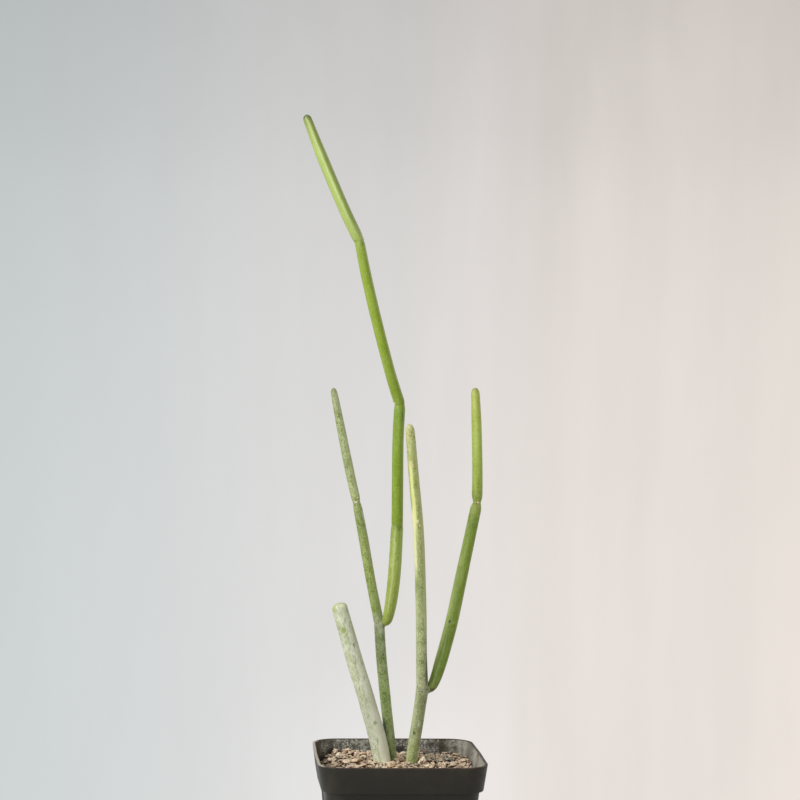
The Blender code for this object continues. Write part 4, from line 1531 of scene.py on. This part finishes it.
RIGHT_SHOOT_SKIN = StemSkin(
    "right_shoot_skin",
    ((96, 106, 120, 34), (107, 103, 130, 18), (118, 108, 134, 20), (131, 118, 142, 26),
     (144, 118, 142, 26), (157, 124, 147, 30), (168, 114, 142, 16), (175, 144, 160, 64),
     (180, 130, 151, 36), (186, 158, 176, 60), (194, 164, 184, 70), (204, 170, 190, 78),
     (213, 175, 190, 78), (224, 184, 194, 92), (227, 170, 178, 90)),
    bloom=tint(198, 208, 140),
    bloom_amount=((96, 0.16), (104, 0.1), (170, 0.16), (177, 0.4), (185, 0.14), (228, 0.1)),
    fleck=tint(86, 108, 22), fleck_amount=0.34, grain=1.7, roughness=0.42, relief=0.02,
    marks=(
        Mark(226.6, 20, 2.8, 1.6, (128, 124, 70), 0.7, 0.3),
        Mark(126.6, -24, 1.3, 1.5, (44, 56, 20), 0.95, 0.5),
        Mark(126.2, 14, 2.4, 0.8, (172, 188, 124), 0.5, 0.6),
        Mark(98.2, -50, 3, 2.2, (146, 148, 112), 0.8, 0.5),
        Mark(98.4, 40, 5, 1.2, (70, 76, 34), 0.6, 0.5),
        Mark(176.6, -8, 1, 1.4, (150, 112, 62), 0.7, 0.4),
    ),
    # Painted light: the lit left side is made paler.
    shading_stripes=(ShadingStripe(104, 172, -9, -1.9, (176, 188, 120), 0.45, 0.5),),
)

RIGHT_SHOOT = Stem(
    "right_green_shoot", "right_shoot", "fresh_green_stem",
    (
        Internode(
            (
                (11.8, 3.9, 98), (13.6, 4.5, 98.6), (15.6, 5.6, 101.2), (18.2, 7, 109), (22.9, 10, 125.5),
                (27.4, 13, 146), (34, 16.5, 177),
            ),
            (3, 4.1, 4.9, 5.5, 5.6, 5.4, 4.9),
            foot=End(EndForm.ROUND, 1.8, 1.6), top=End(EndForm.TAPER, 3.3, 3),
        ),
        Internode(
            ((34, 16.5, 177), (34.1, 18, 191), (33.7, 20.5, 211), (33.05, 22, 226.5)),
            (4.85, 4.6, 4.5, 3.7),
            foot=End(EndForm.TAPER, 3.3, 3.2),
        ),
    ),
    1.25,
    RIGHT_SHOOT_SKIN,
    lumps=0.1,
)

STEMS = (OLD_STEM, LEFT_STEM, TALL_SHOOT, RIGHT_STEM, RIGHT_SHOOT)


@dataclass(frozen=True)
class ScaleSpot:
    """Where a papery scale or bud point sits: its stem, the height and bearing there, and its size."""

    stem: Stem
    height: float
    bearing: float
    width: float
    length: float


@dataclass
class JointScales:
    """The small scales that leaves left at the joints, and the bud points beside them."""

    spots: tuple[ScaleSpot, ...]
    thickness: float = 0.55
    lean: float = 0.2
    sway: float = 0.12
    finish: ScaleSkin = field(default_factory=ScaleSkin)

    def build(self) -> bpy.types.Object:
        """Models one scale, sets a copy at each spot and joins them.

        Returns:
            The joined scales.
        """
        pattern = self._pattern()
        copies = []
        for number, spot in enumerate(self.spots):
            copy = new_object("scale", pattern.data.copy())
            copy.location = spot.stem.surface_point(spot.height, spot.bearing) * MM
            copy.scale = (spot.width * MM, spot.width * self.thickness * MM, spot.length * MM)
            copy.rotation_euler = (self.lean, self.sway * (number % 3 - 1), math.radians(spot.bearing))
            settle(copy)
            copies.append(copy)
        bpy.data.objects.remove(pattern)
        take_only(*copies)
        bpy.ops.object.join()
        scales = copies[0]
        scales.name = "joint_scales"
        dress(scales, self.finish.material())
        shade(scales, angle=60)
        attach(scales, BODY)
        return scales

    @staticmethod
    def _pattern() -> bpy.types.Object:
        """Returns a scale of unit size: a small ball, drawn out to a point and flattened at its back."""
        bpy.ops.object.select_all(action="DESELECT")
        bpy.ops.mesh.primitive_ico_sphere_add(subdivisions=2, radius=0.5, location=(0, 0, 0))
        scale = new_from_primitive("scale")
        with editing(scale):
            choose_points(scale, lambda place: place.z * MM > 0.4)
            bpy.ops.transform.translate(value=(0, -0.1, 0.22))
            bpy.ops.transform.resize(value=(0.45, 0.5, 1), center_override=(0, -0.1, 0.6))
            choose_points(scale, lambda place: place.z * MM < -0.3)
            bpy.ops.transform.resize(value=(0.8, 0.8, 0.7), center_override=(0, 0, -0.3))
        return scale


@dataclass
class Collar:
    """The short rough socket that a branch grows out of, at a joint of the stem that bears it."""

    piece: str
    start: Point
    end: Point
    widths: tuple[float, ...]
    skin: StemSkin
    sides: int = 14

    def build(self) -> bpy.types.Object:
        """Models and dresses the collar.

        Returns:
            The finished collar.
        """
        start, way = Vector(self.start), Vector(self.end) - Vector(self.start)
        step = way.length / (len(self.widths) - 1)
        rings = [(step * index, width / 2) for index, width in enumerate(self.widths)]
        collar = new_tube(self.piece, self.sides, rings)
        collar.rotation_mode = "QUATERNION"
        collar.rotation_quaternion = way.to_track_quat("Z", "Y")
        collar.location = start * MM
        settle(collar)
        modify(collar, "SUBSURF", levels=2, render_levels=2)
        make_lumpy(collar, "collar_lumps", size=1.1, depth=0.22)
        face_outwards(collar)
        shade(collar, angle=60)
        write_skin(collar, [vertex.co / MM - start for vertex in collar.data.vertices])
        dress(collar, self.skin.material(lambda height, bearing: start))
        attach(collar, BODY)
        return collar


COLLAR_SKIN = StemSkin(
    "collar_skin",
    ((90, 142, 148, 108), (130, 150, 160, 112)),
    bloom=tint(192, 196, 170),
    bloom_amount=((90, 0.5), (130, 0.55)),
    fleck=tint(96, 92, 62), fleck_amount=0.6, grain=1.6, streak=1.0, roughness=0.6, relief=0.08,
)

COLLARS = (
    Collar("right_branch_collar", (10.3, 3.5, 98.2), (13.5, 4.45, 98.2),
           (4.4, 4.3, 4.1, 3.9, 3.3), COLLAR_SKIN),
    Collar("left_branch_collar", (-7.7, 12.4, 124.6), (-5.6, 10.9, 125.0),
           (4.0, 4.0, 3.8, 3.4, 2.7), COLLAR_SKIN),
)


# ---- The planted bed.


PUMICE = StoneSkin(
    "pumice_stone",
    (tint(140, 112, 86), tint(190, 160, 124), tint(224, 200, 164), tint(212, 170, 148),
     tint(250, 240, 214)),
    tint(66, 44, 28), 0.55, 0.5,
)
AKADAMA = StoneSkin(
    "akadama_stone",
    (tint(96, 64, 42), tint(150, 108, 76), tint(178, 138, 122), tint(210, 168, 122),
     tint(198, 142, 104)),
    tint(54, 36, 24), 0.9, 0.45,
)
LAVA = StoneSkin(
    "lava_stone_skin",
    (tint(56, 48, 44), tint(84, 74, 68), tint(104, 92, 84), tint(88, 62, 50)),
    tint(34, 26, 24), 0.5, 0.6,
)


class StoneForm(Enum):
    """How a kind of grit breaks: how deep its lumps are and how many flat faces it shows."""

    PUMICE = (0.8, 7)
    CLAY = (0.55, 6)
    LAVA = PUMICE  # Lava breaks as pumice does.

    @property
    def lumps(self) -> float:
        """The depth of the lumps, as a share of the stone's radius."""
        return self.value[0]

    @property
    def facets(self) -> int:
        """The number of flat broken faces."""
        return self.value[1]


@dataclass(frozen=True)
class StoneKind:
    """A kind of grit: the prefix of its CAD nodes, its form, finish and slot, and its share of the bed."""

    prefix: str
    form: StoneForm
    finish: StoneSkin
    slot: str
    share: float


STONE_KINDS = (
    StoneKind("pumice_grain", StoneForm.PUMICE, PUMICE, "pumice", 0.56),
    StoneKind("akadama_grain", StoneForm.CLAY, AKADAMA, "akadama_clay", 0.30),
    StoneKind("lava_grain", StoneForm.LAVA, LAVA, "lava_stone", 0.14),
)


BOX_DIAGONAL = 3.4  # The diagonal of a stone's box, in radii of the stone.
FACET_REACH = (0.45, 0.8)  # How far from its middle a stone is split flat, in radii of the stone.


@dataclass
class Stone:
    """One broken stone, modelled at its place."""

    name: str
    centre: Vector
    radius: float
    form: StoneForm
    detail: int
    luck: random.Random

    def model(self) -> bpy.types.Object:
        """Models the stone: a ball that is made lumpy, then split flat on a few faces.

        Returns:
            The stone, its place in its mesh.
        """
        bpy.ops.object.select_all(action="DESELECT")
        bpy.ops.mesh.primitive_ico_sphere_add(
            subdivisions=self.detail, radius=self.radius * MM, location=self.centre * MM
        )
        stone = new_from_primitive(self.name)
        make_lumpy(stone, "stone_lumps", size=1.7, depth=self.form.lumps * self.radius)
        settle(stone)
        with editing(stone):
            for _ in range(self.form.facets):
                normal = Vector(self.luck.gauss(0, 1) for _ in range(3)).normalized()
                middle = self.centre + normal * self.radius * self.luck.uniform(*FACET_REACH)
                bpy.ops.mesh.select_all(action="SELECT")
                bpy.ops.mesh.bisect(plane_co=middle * MM, plane_no=normal, use_fill=True, clear_outer=True)
        return stone


def set_tone(mesh: bpy.types.Mesh, tones: Sequence[float]) -> None:
    """Writes each vertex's place on its stone kind's colour ramp."""
    attribute = mesh.attributes.get("tone") or mesh.attributes.new("tone", "FLOAT", "POINT")
    attribute.data.foreach_set("value", list(tones))


class Grit(IntEnum):
    """The kinds of grit, in the order of their table."""

    PUMICE = 0
    CLAY = 1
    LAVA = 2


@dataclass(frozen=True)
class Area:
    """A stretch of the bed, between two places across it and two from front to back."""

    left: float = -math.inf
    right: float = math.inf
    front: float = -math.inf
    back: float = math.inf

    def holds(self, x: float, y: float) -> bool:
        """Tells whether a place lies in it."""
        return self.left < x < self.right and self.front < y < self.back


@dataclass(frozen=True)
class PlacedStone:
    """A larger stone that stands out in the bed: its kind, middle, size and tone."""

    kind: Grit
    x: float
    y: float
    width: float
    height: float
    tone: float


@dataclass
class GritBed:
    """The top of the mix: the larger single stones, and the many small ones packed between them."""

    level: float = 65.2
    front_fall: float = 1.3
    front_fall_from: float = -4.0
    front_fall_reach: float = 22.0
    left_fall: float = 1.1
    left_fall_from: float = -17.0
    left_fall_reach: float = 12.0
    most_fall: float = 1.5
    mound_rise: float = 0.8
    mound_radius: float = 12.0
    mound_y: float = 7.0
    lump_rise: float = 0.25
    ripple_rise: float = 0.15
    wall_half: float = 32.4
    wall_corner: float = 8.4
    cell: float = 0.6
    tries: int = 2000
    least: float = 0.65
    most: float = 2.6
    rise: float = 2.7
    right_rise: float = 1.9
    right_side: Area = Area(left=14.0)
    back_left: Area = Area(left=-28.0, right=-13.0, front=2.0)
    back_left_rise: float = 1.5
    front_clear: Area = Area(back=-13.0)
    front_ceiling: float = 66.75
    right_clear: Area = Area(left=12.0, front=-15.0, back=25.0)
    right_ceiling: float = 67.75
    # Painted light: stones right of the right stem's foot get paler tones, lifting the stem's shadow there.
    pale: Area = Area(left=8.0, right=20.0, back=1.0)
    lightened_tone: float = 0.4
    left_gap: Area = Area(right=-32.0, back=4.0)
    thin_edge: float = -29.5
    thinned: float = 0.8
    overlap: float = 1.08
    placed_overlap: float = 1.25
    depth_share: float = 0.8
    bias: float = 1.6
    last_size: float = 0.25
    wall_share: float = 0.8
    rest_share: float = 0.7
    sink: float = 0.4
    squats: tuple[float, float] = (0.6, 1.1)
    depths: tuple[float, float] = (0.7, 1.0)
    patterns: int = 4
    pattern_gap: float = 37.0
    kind_gap: float = 11.0
    crumbs: Crumbs = field(default_factory=Crumbs)
    placed: tuple[PlacedStone, ...] = (
        PlacedStone(Grit.PUMICE, 10.6, 4.4, 4.2, 5.6, 1.0),
        PlacedStone(Grit.PUMICE, -18.6, -3.0, 6.4, 3.0, 0.78),
        PlacedStone(Grit.CLAY, -5.6, -0.6, 4.6, 2.0, 0.6),
        PlacedStone(Grit.CLAY, -9.4, 0.2, 3.0, 1.8, 0.3),
        PlacedStone(Grit.CLAY, -2.0, 0.6, 2.6, 1.8, 0.8),
        PlacedStone(Grit.PUMICE, -25.0, 8.0, 3.8, 3.4, 0.5),
        PlacedStone(Grit.CLAY, -21.0, 10.0, 4.0, 3.8, 0.7),
        PlacedStone(Grit.PUMICE, 4.2, 1.6, 2.6, 2.0, 0.9),
        PlacedStone(Grit.CLAY, 18.8, 2.4, 3.0, 2.2, 0.5),
        PlacedStone(Grit.PUMICE, -22.6, 4.6, 3.2, 2.4, 0.35),
        PlacedStone(Grit.CLAY, 23.6, 5.6, 3.4, 2.2, 0.7),
        PlacedStone(Grit.PUMICE, 28.6, -2.4, 2.8, 1.9, 0.6),
        PlacedStone(Grit.PUMICE, 30.4, -12.0, 3.0, 2.2, 0.9),
        PlacedStone(Grit.CLAY, 28.0, -17.0, 2.8, 2.0, 0.7),
        PlacedStone(Grit.PUMICE, 30.6, -19.0, 2.4, 2.0, 0.5),
    )

    def height_at(self, x: float, y: float) -> float:
        """Returns the height of the mix's surface at a place."""
        mound = self.mound_rise * math.exp(-(x**2 + (y - self.mound_y) ** 2) / self.mound_radius**2)
        fall = self.front_fall * smooth_step((self.front_fall_from - y) / self.front_fall_reach)
        fall += self.left_fall * smooth_step((self.left_fall_from - x) / self.left_fall_reach)
        lumps = self.lump_rise * math.sin(0.62 * x + 1.1) * math.sin(0.55 * y + 0.5)
        lumps += self.ripple_rise * math.sin(0.9 * x - 1.15 * y)
        return self.level + mound - min(fall, self.most_fall) + lumps

    def ceiling_at(self, x: float, y: float) -> float:
        """Returns how high a stone may reach at a place."""
        ceiling = self.height_at(x, y) + (self.right_rise if self.right_side.holds(x, y) else self.rise)
        if self.back_left.holds(x, y):
            ceiling += self.back_left_rise
        if self.front_clear.holds(x, y):
            ceiling = min(ceiling, self.front_ceiling)
        if self.right_clear.holds(x, y):
            ceiling = min(ceiling, self.right_ceiling)
        return ceiling

    def is_inside(self, x: float, y: float, margin: float) -> bool:
        """Tells whether a place is inside the pot's walls by a margin."""
        half, corner = self.wall_half - margin, max(self.wall_corner - margin, 1.0)
        over_x, over_y = abs(x) - (half - corner), abs(y) - (half - corner)
        if over_x <= 0 or over_y <= 0:
            return abs(x) <= half and abs(y) <= half
        return math.hypot(over_x, over_y) <= corner

    def build(self, frame: dict) -> list[bpy.types.Object]:
        """Models and dresses the bed.

        Args:
            frame: The loaded frame.

        Returns:
            Every new piece.
        """
        luck = random.Random(SEED)
        materials = [kind.finish.material() for kind in STONE_KINDS]
        made = []
        for kind, material in zip(STONE_KINDS, materials):
            for node in sorted(name for name in frame["nodes"] if name.startswith(kind.prefix)):
                made.append(self._single(node, kind, material, luck))
        made += self._packed(materials, luck)
        dress(frame["nodes"]["potting_mix"], self.crumbs.material())
        return made

    @staticmethod
    def _single(
        node: str, kind: StoneKind, material: bpy.types.Material, luck: random.Random
    ) -> bpy.types.Object:
        """Returns the detailed stone that stands for one CAD grain."""
        low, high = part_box(node)
        centre, radius = (low + high) / 2 / MM, (high - low).length / BOX_DIAGONAL / MM
        stone = Stone(f"{node}_stone", centre, radius, kind.form, detail=4, luck=luck).model()
        make_lumpy(stone, "stone_pits", size=0.55, depth=0.16 * radius)
        fit_into(stone, low, high)
        set_tone(stone.data, [luck.random()] * len(stone.data.vertices))
        dress(stone, material)
        face_outwards(stone)
        shade(stone, angle=30)
        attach(stone, BODY)
        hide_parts(node)
        return stone

    def _packed(self, materials: list[bpy.types.Material], luck: random.Random) -> list[bpy.types.Object]:
        """Returns the many small stones, joined in one piece for each kind."""
        shapes = [[self._pattern(kind, number, luck) for number in range(self.patterns)] for kind in Grit]
        heaps = [bmesh.new() for _ in STONE_KINDS]
        tones = [[] for _ in STONE_KINDS]
        for kind, place, scale, tone in self._places(luck):
            pattern = luck.choice(shapes[kind]).data.copy()
            turn = Euler([luck.uniform(0, 2 * math.pi) for _ in range(3)]).to_matrix().to_4x4()
            pattern.transform(Matrix.Translation(place * MM) @ Matrix.Diagonal((*scale, 1)) @ turn)
            heaps[kind].from_mesh(pattern)
            tones[kind] += [tone] * len(pattern.vertices)
            bpy.data.meshes.remove(pattern)
        for row in shapes:
            for stone in row:
                bpy.data.objects.remove(stone)
        made = []
        for kind, material, heap, tone in zip(STONE_KINDS, materials, heaps, tones):
            mesh = bpy.data.meshes.new(f"{kind.prefix}s_packed")
            bmesh.ops.recalc_face_normals(heap, faces=heap.faces)
            heap.to_mesh(mesh)
            heap.free()
            set_tone(mesh, tone)
            piece = new_object(mesh.name, mesh)
            dress(piece, material)
            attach(piece, BODY)
            made.append(piece)
        return made

    def _pattern(self, kind: Grit, number: int, luck: random.Random) -> bpy.types.Object:
        """Returns a stone of unit size, each broken from its own place in the lumpy texture."""
        centre = Vector((self.pattern_gap * number, self.kind_gap * kind, 0))
        stone = Stone("pattern", centre, 1.0, STONE_KINDS[kind].form, detail=2, luck=luck).model()
        stone.data.transform(Matrix.Translation(-centre * MM))
        return stone

    def _places(self, luck: random.Random) -> Iterator[tuple[Grit, Vector, Vector, float]]:
        """Drops stones one after another, each to rest on those below it.

        Args:
            luck: The source of chance.

        Yields:
            The kind, the middle, the scale for each axis and the tone of each stone.
        """
        cells = int(2 * self.wall_half / self.cell) + 1
        grid = [-self.wall_half + index * self.cell for index in range(cells)]
        surface = [[self.height_at(x, y) for y in grid] for x in grid]
        for stone in self.placed:
            half, tall = stone.width / 2, stone.height / 2
            middle = Vector((stone.x, stone.y, self._rest(surface, stone.x, stone.y, half, tall)))
            self._raise(surface, middle, half, tall)
            scale = Vector((half, half * self.depth_share, tall)) * self.placed_overlap
            yield stone.kind, middle, scale, stone.tone
        weights = [kind.share for kind in STONE_KINDS]
        for number in range(self.tries):
            ease = 1 - number / self.tries
            size = luck.random() ** self.bias * (self.last_size + (1 - self.last_size) * ease)
            half = self.least + (self.most - self.least) * size
            x, y = (luck.uniform(-self.wall_half, self.wall_half) for _ in range(2))
            if not self.is_inside(x, y, half * self.wall_share) or self.left_gap.holds(x - half, y):
                continue
            tall = half * luck.uniform(*self.squats)
            z = self._rest(surface, x, y, half, tall)
            if z + tall > self.ceiling_at(x, y) or (x < self.thin_edge and luck.random() < self.thinned):
                continue
            middle = Vector((x, y, z))
            self._raise(surface, middle, half, tall)
            scale = Vector((half, half * luck.uniform(*self.depths), tall)) * self.overlap
            kind, tone = luck.choices(tuple(Grit), weights)[0], luck.random()
            # Painted light: paler tones where the right stem's shadow falls on the bed.
            if self.pale.holds(x, y):
                tone = self.lightened_tone + (1 - self.lightened_tone) * tone
            yield kind, middle, scale, tone

    def _rest(self, surface: list[list[float]], x: float, y: float, half: float, tall: float) -> float:
        """Returns the height at which a stone comes to rest, sunk a little between its neighbours."""
        cells = self._cells_under(surface, x, y, half * self.rest_share)
        heights = sorted(surface[i][j] for i, j, _ in cells)
        return heights[len(heights) // 2] + tall * self.sink

    def _raise(self, surface: list[list[float]], middle: Vector, half: float, tall: float) -> None:
        """Raises the surface to the top of a stone that has come to rest."""
        for i, j, away in self._cells_under(surface, middle.x, middle.y, half):
            top = middle.z + tall * math.sqrt(max(0.0, 1 - (away / half) ** 2))
            surface[i][j] = max(surface[i][j], top)

    def _cells_under(
        self, surface: list[list[float]], x: float, y: float, reach: float
    ) -> list[tuple[int, int, float]]:
        """Returns the cells within reach of a place, each with how far away it is."""
        found = []
        low_i, low_j = (int((value - reach + self.wall_half) / self.cell) for value in (x, y))
        count = int(2 * reach / self.cell) + 2
        for i in range(max(low_i, 0), min(low_i + count, len(surface))):
            for j in range(max(low_j, 0), min(low_j + count, len(surface))):
                away = math.hypot(i * self.cell - self.wall_half - x, j * self.cell - self.wall_half - y)
                if away <= reach:
                    found.append((i, j, away))
        return found


@dataclass
class Litter:
    """A dry bit of plant on the bed: a thin stick with two broken ends."""

    piece: str
    node: str
    slot: str
    turn: float
    length: float
    width: float
    flatness: float
    finish: Fibre
    swells: tuple[float, ...] = (0.7, 1.0, 0.9, 1.05, 0.95, 0.8, 0.9, 0.55)
    bend: float = 0.1
    waves: float = 0.9
    end_share: float = 0.2
    lift: float = 0.04

    def build(self) -> bpy.types.Object:
        """Models and dresses the bit.

        Returns:
            The finished piece, which stands for its CAD node.
        """
        low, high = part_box(self.node)
        bit = new_disc(self.piece, sides=9, radius=self.width / 2)
        step = self.length / (len(self.swells) - 1)
        with editing(bit, "FACE"):
            bpy.ops.mesh.select_all(action="SELECT")
            before = 1.0
            for index, width in enumerate(self.swells):
                bend = self.bend * math.sin(index * self.waves)
                rise, flat = (step, 1.0) if index else (step * self.end_share, self.flatness)
                bpy.ops.mesh.extrude_region_move(
                    TRANSFORM_OT_translate={"value": (bend * MM, bend / 2 * MM, rise * MM)}
                )
                bpy.ops.transform.resize(value=(width / before, flat * width / before, 1))
                before = width
        bit.rotation_mode = "QUATERNION"
        turn = math.radians(self.turn)
        along = Vector((math.cos(turn), math.sin(turn), self.lift))
        bit.rotation_quaternion = along.to_track_quat("Z", "Y")
        settle(bit)
        modify(bit, "SUBSURF", levels=1, render_levels=1)
        fit_into(bit, low, high)
        face_outwards(bit)
        shade(bit, angle=50)
        dress(bit, self.finish.material())
        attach(bit, BODY)
        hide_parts(self.node)
        return bit


LITTER = (
    Litter("twig_bit", "twig_chip", "twig_bark", 62.0, 5.6, 0.95, 0.9,
           Fibre("twig_bark_skin", tint(70, 48, 32), tint(140, 104, 72), (2.0, 2.0, 1.0))),
    Litter("straw_bit", "straw_chip", "dry_straw", 55.0, 6.2, 0.8, 0.6,
           Fibre("straw_skin", tint(150, 112, 66), tint(206, 172, 116), (2.0, 0.6, 2.0))),
)


# ---- The studio.


@dataclass(frozen=True)
class Lamp:
    """A square soft lamp: its name, place, side and power."""

    name: str
    place: Point
    size: float
    power: float


@dataclass
class Studio:
    """A pale floor that fades out, a pale background, and soft light from the upper left."""

    across: tuple[tuple[float, Colour], ...] = (
        (-0.11, tint(207, 213, 213)), (-0.05, tint(212, 216, 216)), (0.007, tint(220, 221, 220)),
        (0.08, tint(226, 224, 222)), (0.113, tint(230, 226, 223)), (0.16, tint(232, 225, 220)),
        (0.28, tint(234, 226, 219)),
    )
    upward: tuple[tuple[float, float], ...] = (
        (-0.2, 1.0), (-0.08, 0.985), (-0.03, 0.965), (0.03, 0.94), (0.065, 0.915), (0.1, 0.885),
        (0.135, 0.83), (0.165, 0.80), (0.2, 0.755),
    )
    glow_way: Point = (0.0859, 0.9757, -0.2016)
    glow_reach: float = 0.095
    glow_gain: float = 0.085
    fold_size: Point = (26.0, 26.0, 3.2)
    fold_depth: float = 0.08
    weave_size: Point = (90.0, 90.0, 22.0)
    weave_depth: float = 0.01
    ambient: float = 0.4
    lamps: tuple[Lamp, ...] = (
        Lamp("key_light", (-1560.0, -900.0, 1150.0), 800.0, 29.0),
        Lamp("front_light", (-560.0, -1500.0, 750.0), 320.0, 6.0),
        Lamp("rim_light", (1400.0, 700.0, 900.0), 900.0, 4.0),
    )
    aim: Point = (0.0, 0.0, 150.0)
    floor_colour: Colour = tint(226, 226, 225)
    floor_radius: float = 420.0
    fade_from: float = 130.0
    fade_to: float = 260.0

    def build(self) -> None:
        """Makes the lights, the world and the floor."""
        for lamp in self.lamps:
            self._hang(lamp)
        self._world()
        self._floor()

    def _hang(self, lamp: Lamp) -> None:
        """Makes one square lamp that faces the plant."""
        data = bpy.data.lights.new(lamp.name, "AREA")
        data.shape = "SQUARE"
        data.size = lamp.size * MM
        data.energy = lamp.power
        made = new_object(lamp.name, data)
        made.location = Vector(lamp.place) * MM
        toward = (Vector(self.aim) - Vector(lamp.place)).normalized()
        made.rotation_mode = "QUATERNION"
        made.rotation_quaternion = toward.to_track_quat("-Z", "Y")

    def _world(self) -> None:
        """Makes the world: even pale light, and, where it is looked at, a soft sweep of tone with painted
        light and shade.
        """
        world = bpy.data.worlds.new("studio")
        bpy.context.scene.world = world
        recipe = Recipe(world)
        way = recipe.node("ShaderNodeTexCoord", output="Generated")
        across, up = recipe.part(way, "X"), recipe.part(way, "Z")
        # Painted light and shade on the backdrop: paler low down, a soft glow a little below the middle of
        # view, and the shade of cloth folds, stronger to the right.
        fold_shade = recipe.noise(recipe.stretched(recipe.drift(way, 3.0, 0.012), self.fold_size), 1.0)
        weave = recipe.noise(recipe.stretched(way, self.weave_size), 1.0)
        strength = recipe.rise(across, -0.1, 0.2) * 0.7 + 0.3
        glow = 1 - recipe.rise(recipe.distance(way, self.glow_way), 0.0, self.glow_reach)
        level = recipe.amount_along(up, self.upward) + (fold_shade - 0.5) * strength * (2 * self.fold_depth)
        level = level + (weave - 0.5) * (2 * self.weave_depth) + glow * self.glow_gain
        level = recipe.node("ShaderNodeCombineXYZ", inputs={0: level, 1: level, 2: level})
        toned = recipe.stretched(recipe.along(across, self.across), level)
        seen = recipe.node("ShaderNodeBackground", inputs={"Color": toned, "Strength": 1.0})
        white = {"Color": (1.0, 1.0, 1.0, 1.0), "Strength": self.ambient}
        light = recipe.node("ShaderNodeBackground", inputs=white)
        camera, glossy, passing = (
            recipe.node("ShaderNodeLightPath", output=f"Is {kind} Ray")
            for kind in ("Camera", "Glossy", "Transmission")
        )
        shown = recipe.node("ShaderNodeMixShader", inputs={0: camera + glossy + passing, 1: light, 2: seen})
        recipe.node_output(shown)

    def _floor(self) -> None:
        """Makes the pale round floor, whose edge fades into the background."""
        floor = new_disc("floor", sides=96, radius=self.floor_radius)
        recipe = recipe_for("pale_floor")
        away = recipe.distance(recipe.stretched(recipe.place(), (1.0, 1.0, 0.0)), (0.0, 0.0, 0.0))
        gone = recipe.rise(away, self.fade_from, self.fade_to)
        matt = recipe.node("ShaderNodeBsdfDiffuse", inputs={"Color": self.floor_colour})
        clear = recipe.node("ShaderNodeBsdfTransparent")
        recipe.node_output(recipe.node("ShaderNodeMixShader", inputs={0: gone, 1: matt, 2: clear}))
        dress(floor, recipe.owner)


@dataclass
class Viewpoint:
    """The camera: level, a little left of the pot and well above its rim."""

    place: Point = (-74.96, -833.34, 221.78)
    heading: float = -5.033
    tilt: float = 89.93
    roll: float = 0.94
    lens: float = 89.28
    sensor: float = 36.0
    nearest: float = 50.0
    farthest: float = 20000.0

    def build(self) -> None:
        """Makes the scene's camera."""
        data = bpy.data.cameras.new("camera")
        data.lens = self.lens
        data.sensor_width = self.sensor
        data.clip_start, data.clip_end = self.nearest * MM, self.farthest * MM
        camera = new_object("camera", data)
        view = Matrix.Translation(Vector(self.place) * MM)
        for angle, axis in ((self.heading, "Z"), (self.tilt, "X"), (self.roll, "Z")):
            view = view @ Matrix.Rotation(math.radians(angle), 4, axis)
        camera.matrix_world = view
        bpy.context.scene.camera = camera


SCALE_SPOTS = (
    ScaleSpot(TALL_SHOOT, 287.4, 75, 1.0, 1.1),
    ScaleSpot(TALL_SHOOT, 219.2, -72, 0.8, 0.6),
    ScaleSpot(TALL_SHOOT, 167.9, 66, 1.0, 0.8),
    ScaleSpot(LEFT_STEM, 177.0, -35, 0.7, 0.6),
    ScaleSpot(LEFT_STEM, 178.6, 25, 0.6, 0.6),
    ScaleSpot(RIGHT_SHOOT, 177.1, 12, 1.15, 1.05),
    ScaleSpot(RIGHT_SHOOT, 225.9, 0, 0.7, 0.7),
    ScaleSpot(RIGHT_STEM, 98.8, -80, 0.8, 0.7),
    ScaleSpot(LEFT_STEM, 125.3, -60, 0.7, 0.6),
)


def dress_roots(frame: dict) -> None:
    """Gives the buried root crown its bark."""
    bark = Fibre("root_bark_skin", tint(92, 70, 48), tint(160, 128, 92), (1.6, 1.6, 0.7))
    dress(frame["nodes"]["root_crown"], bark.material())


def report(piece: bpy.types.Object) -> None:
    """Says which piece was built and how many faces it has."""
    log.info("%s: %d faces", piece.name, len(piece.data.polygons))


def main() -> None:
    """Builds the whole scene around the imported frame."""
    logging.basicConfig(level=logging.INFO, format="%(name)s: %(message)s")
    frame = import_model()
    Viewpoint().build()
    Studio().build()
    for assembly in (Pot(), *STEMS, *COLLARS, JointScales(SCALE_SPOTS)):
        report(assembly.build())
    for stone in GritBed().build(frame):
        report(stone)
    for bit in LITTER:
        report(bit.build())
    dress_roots(frame)
    bpy.context.scene.view_settings.view_transform = "Standard"


if __name__ == "__main__":
    main()
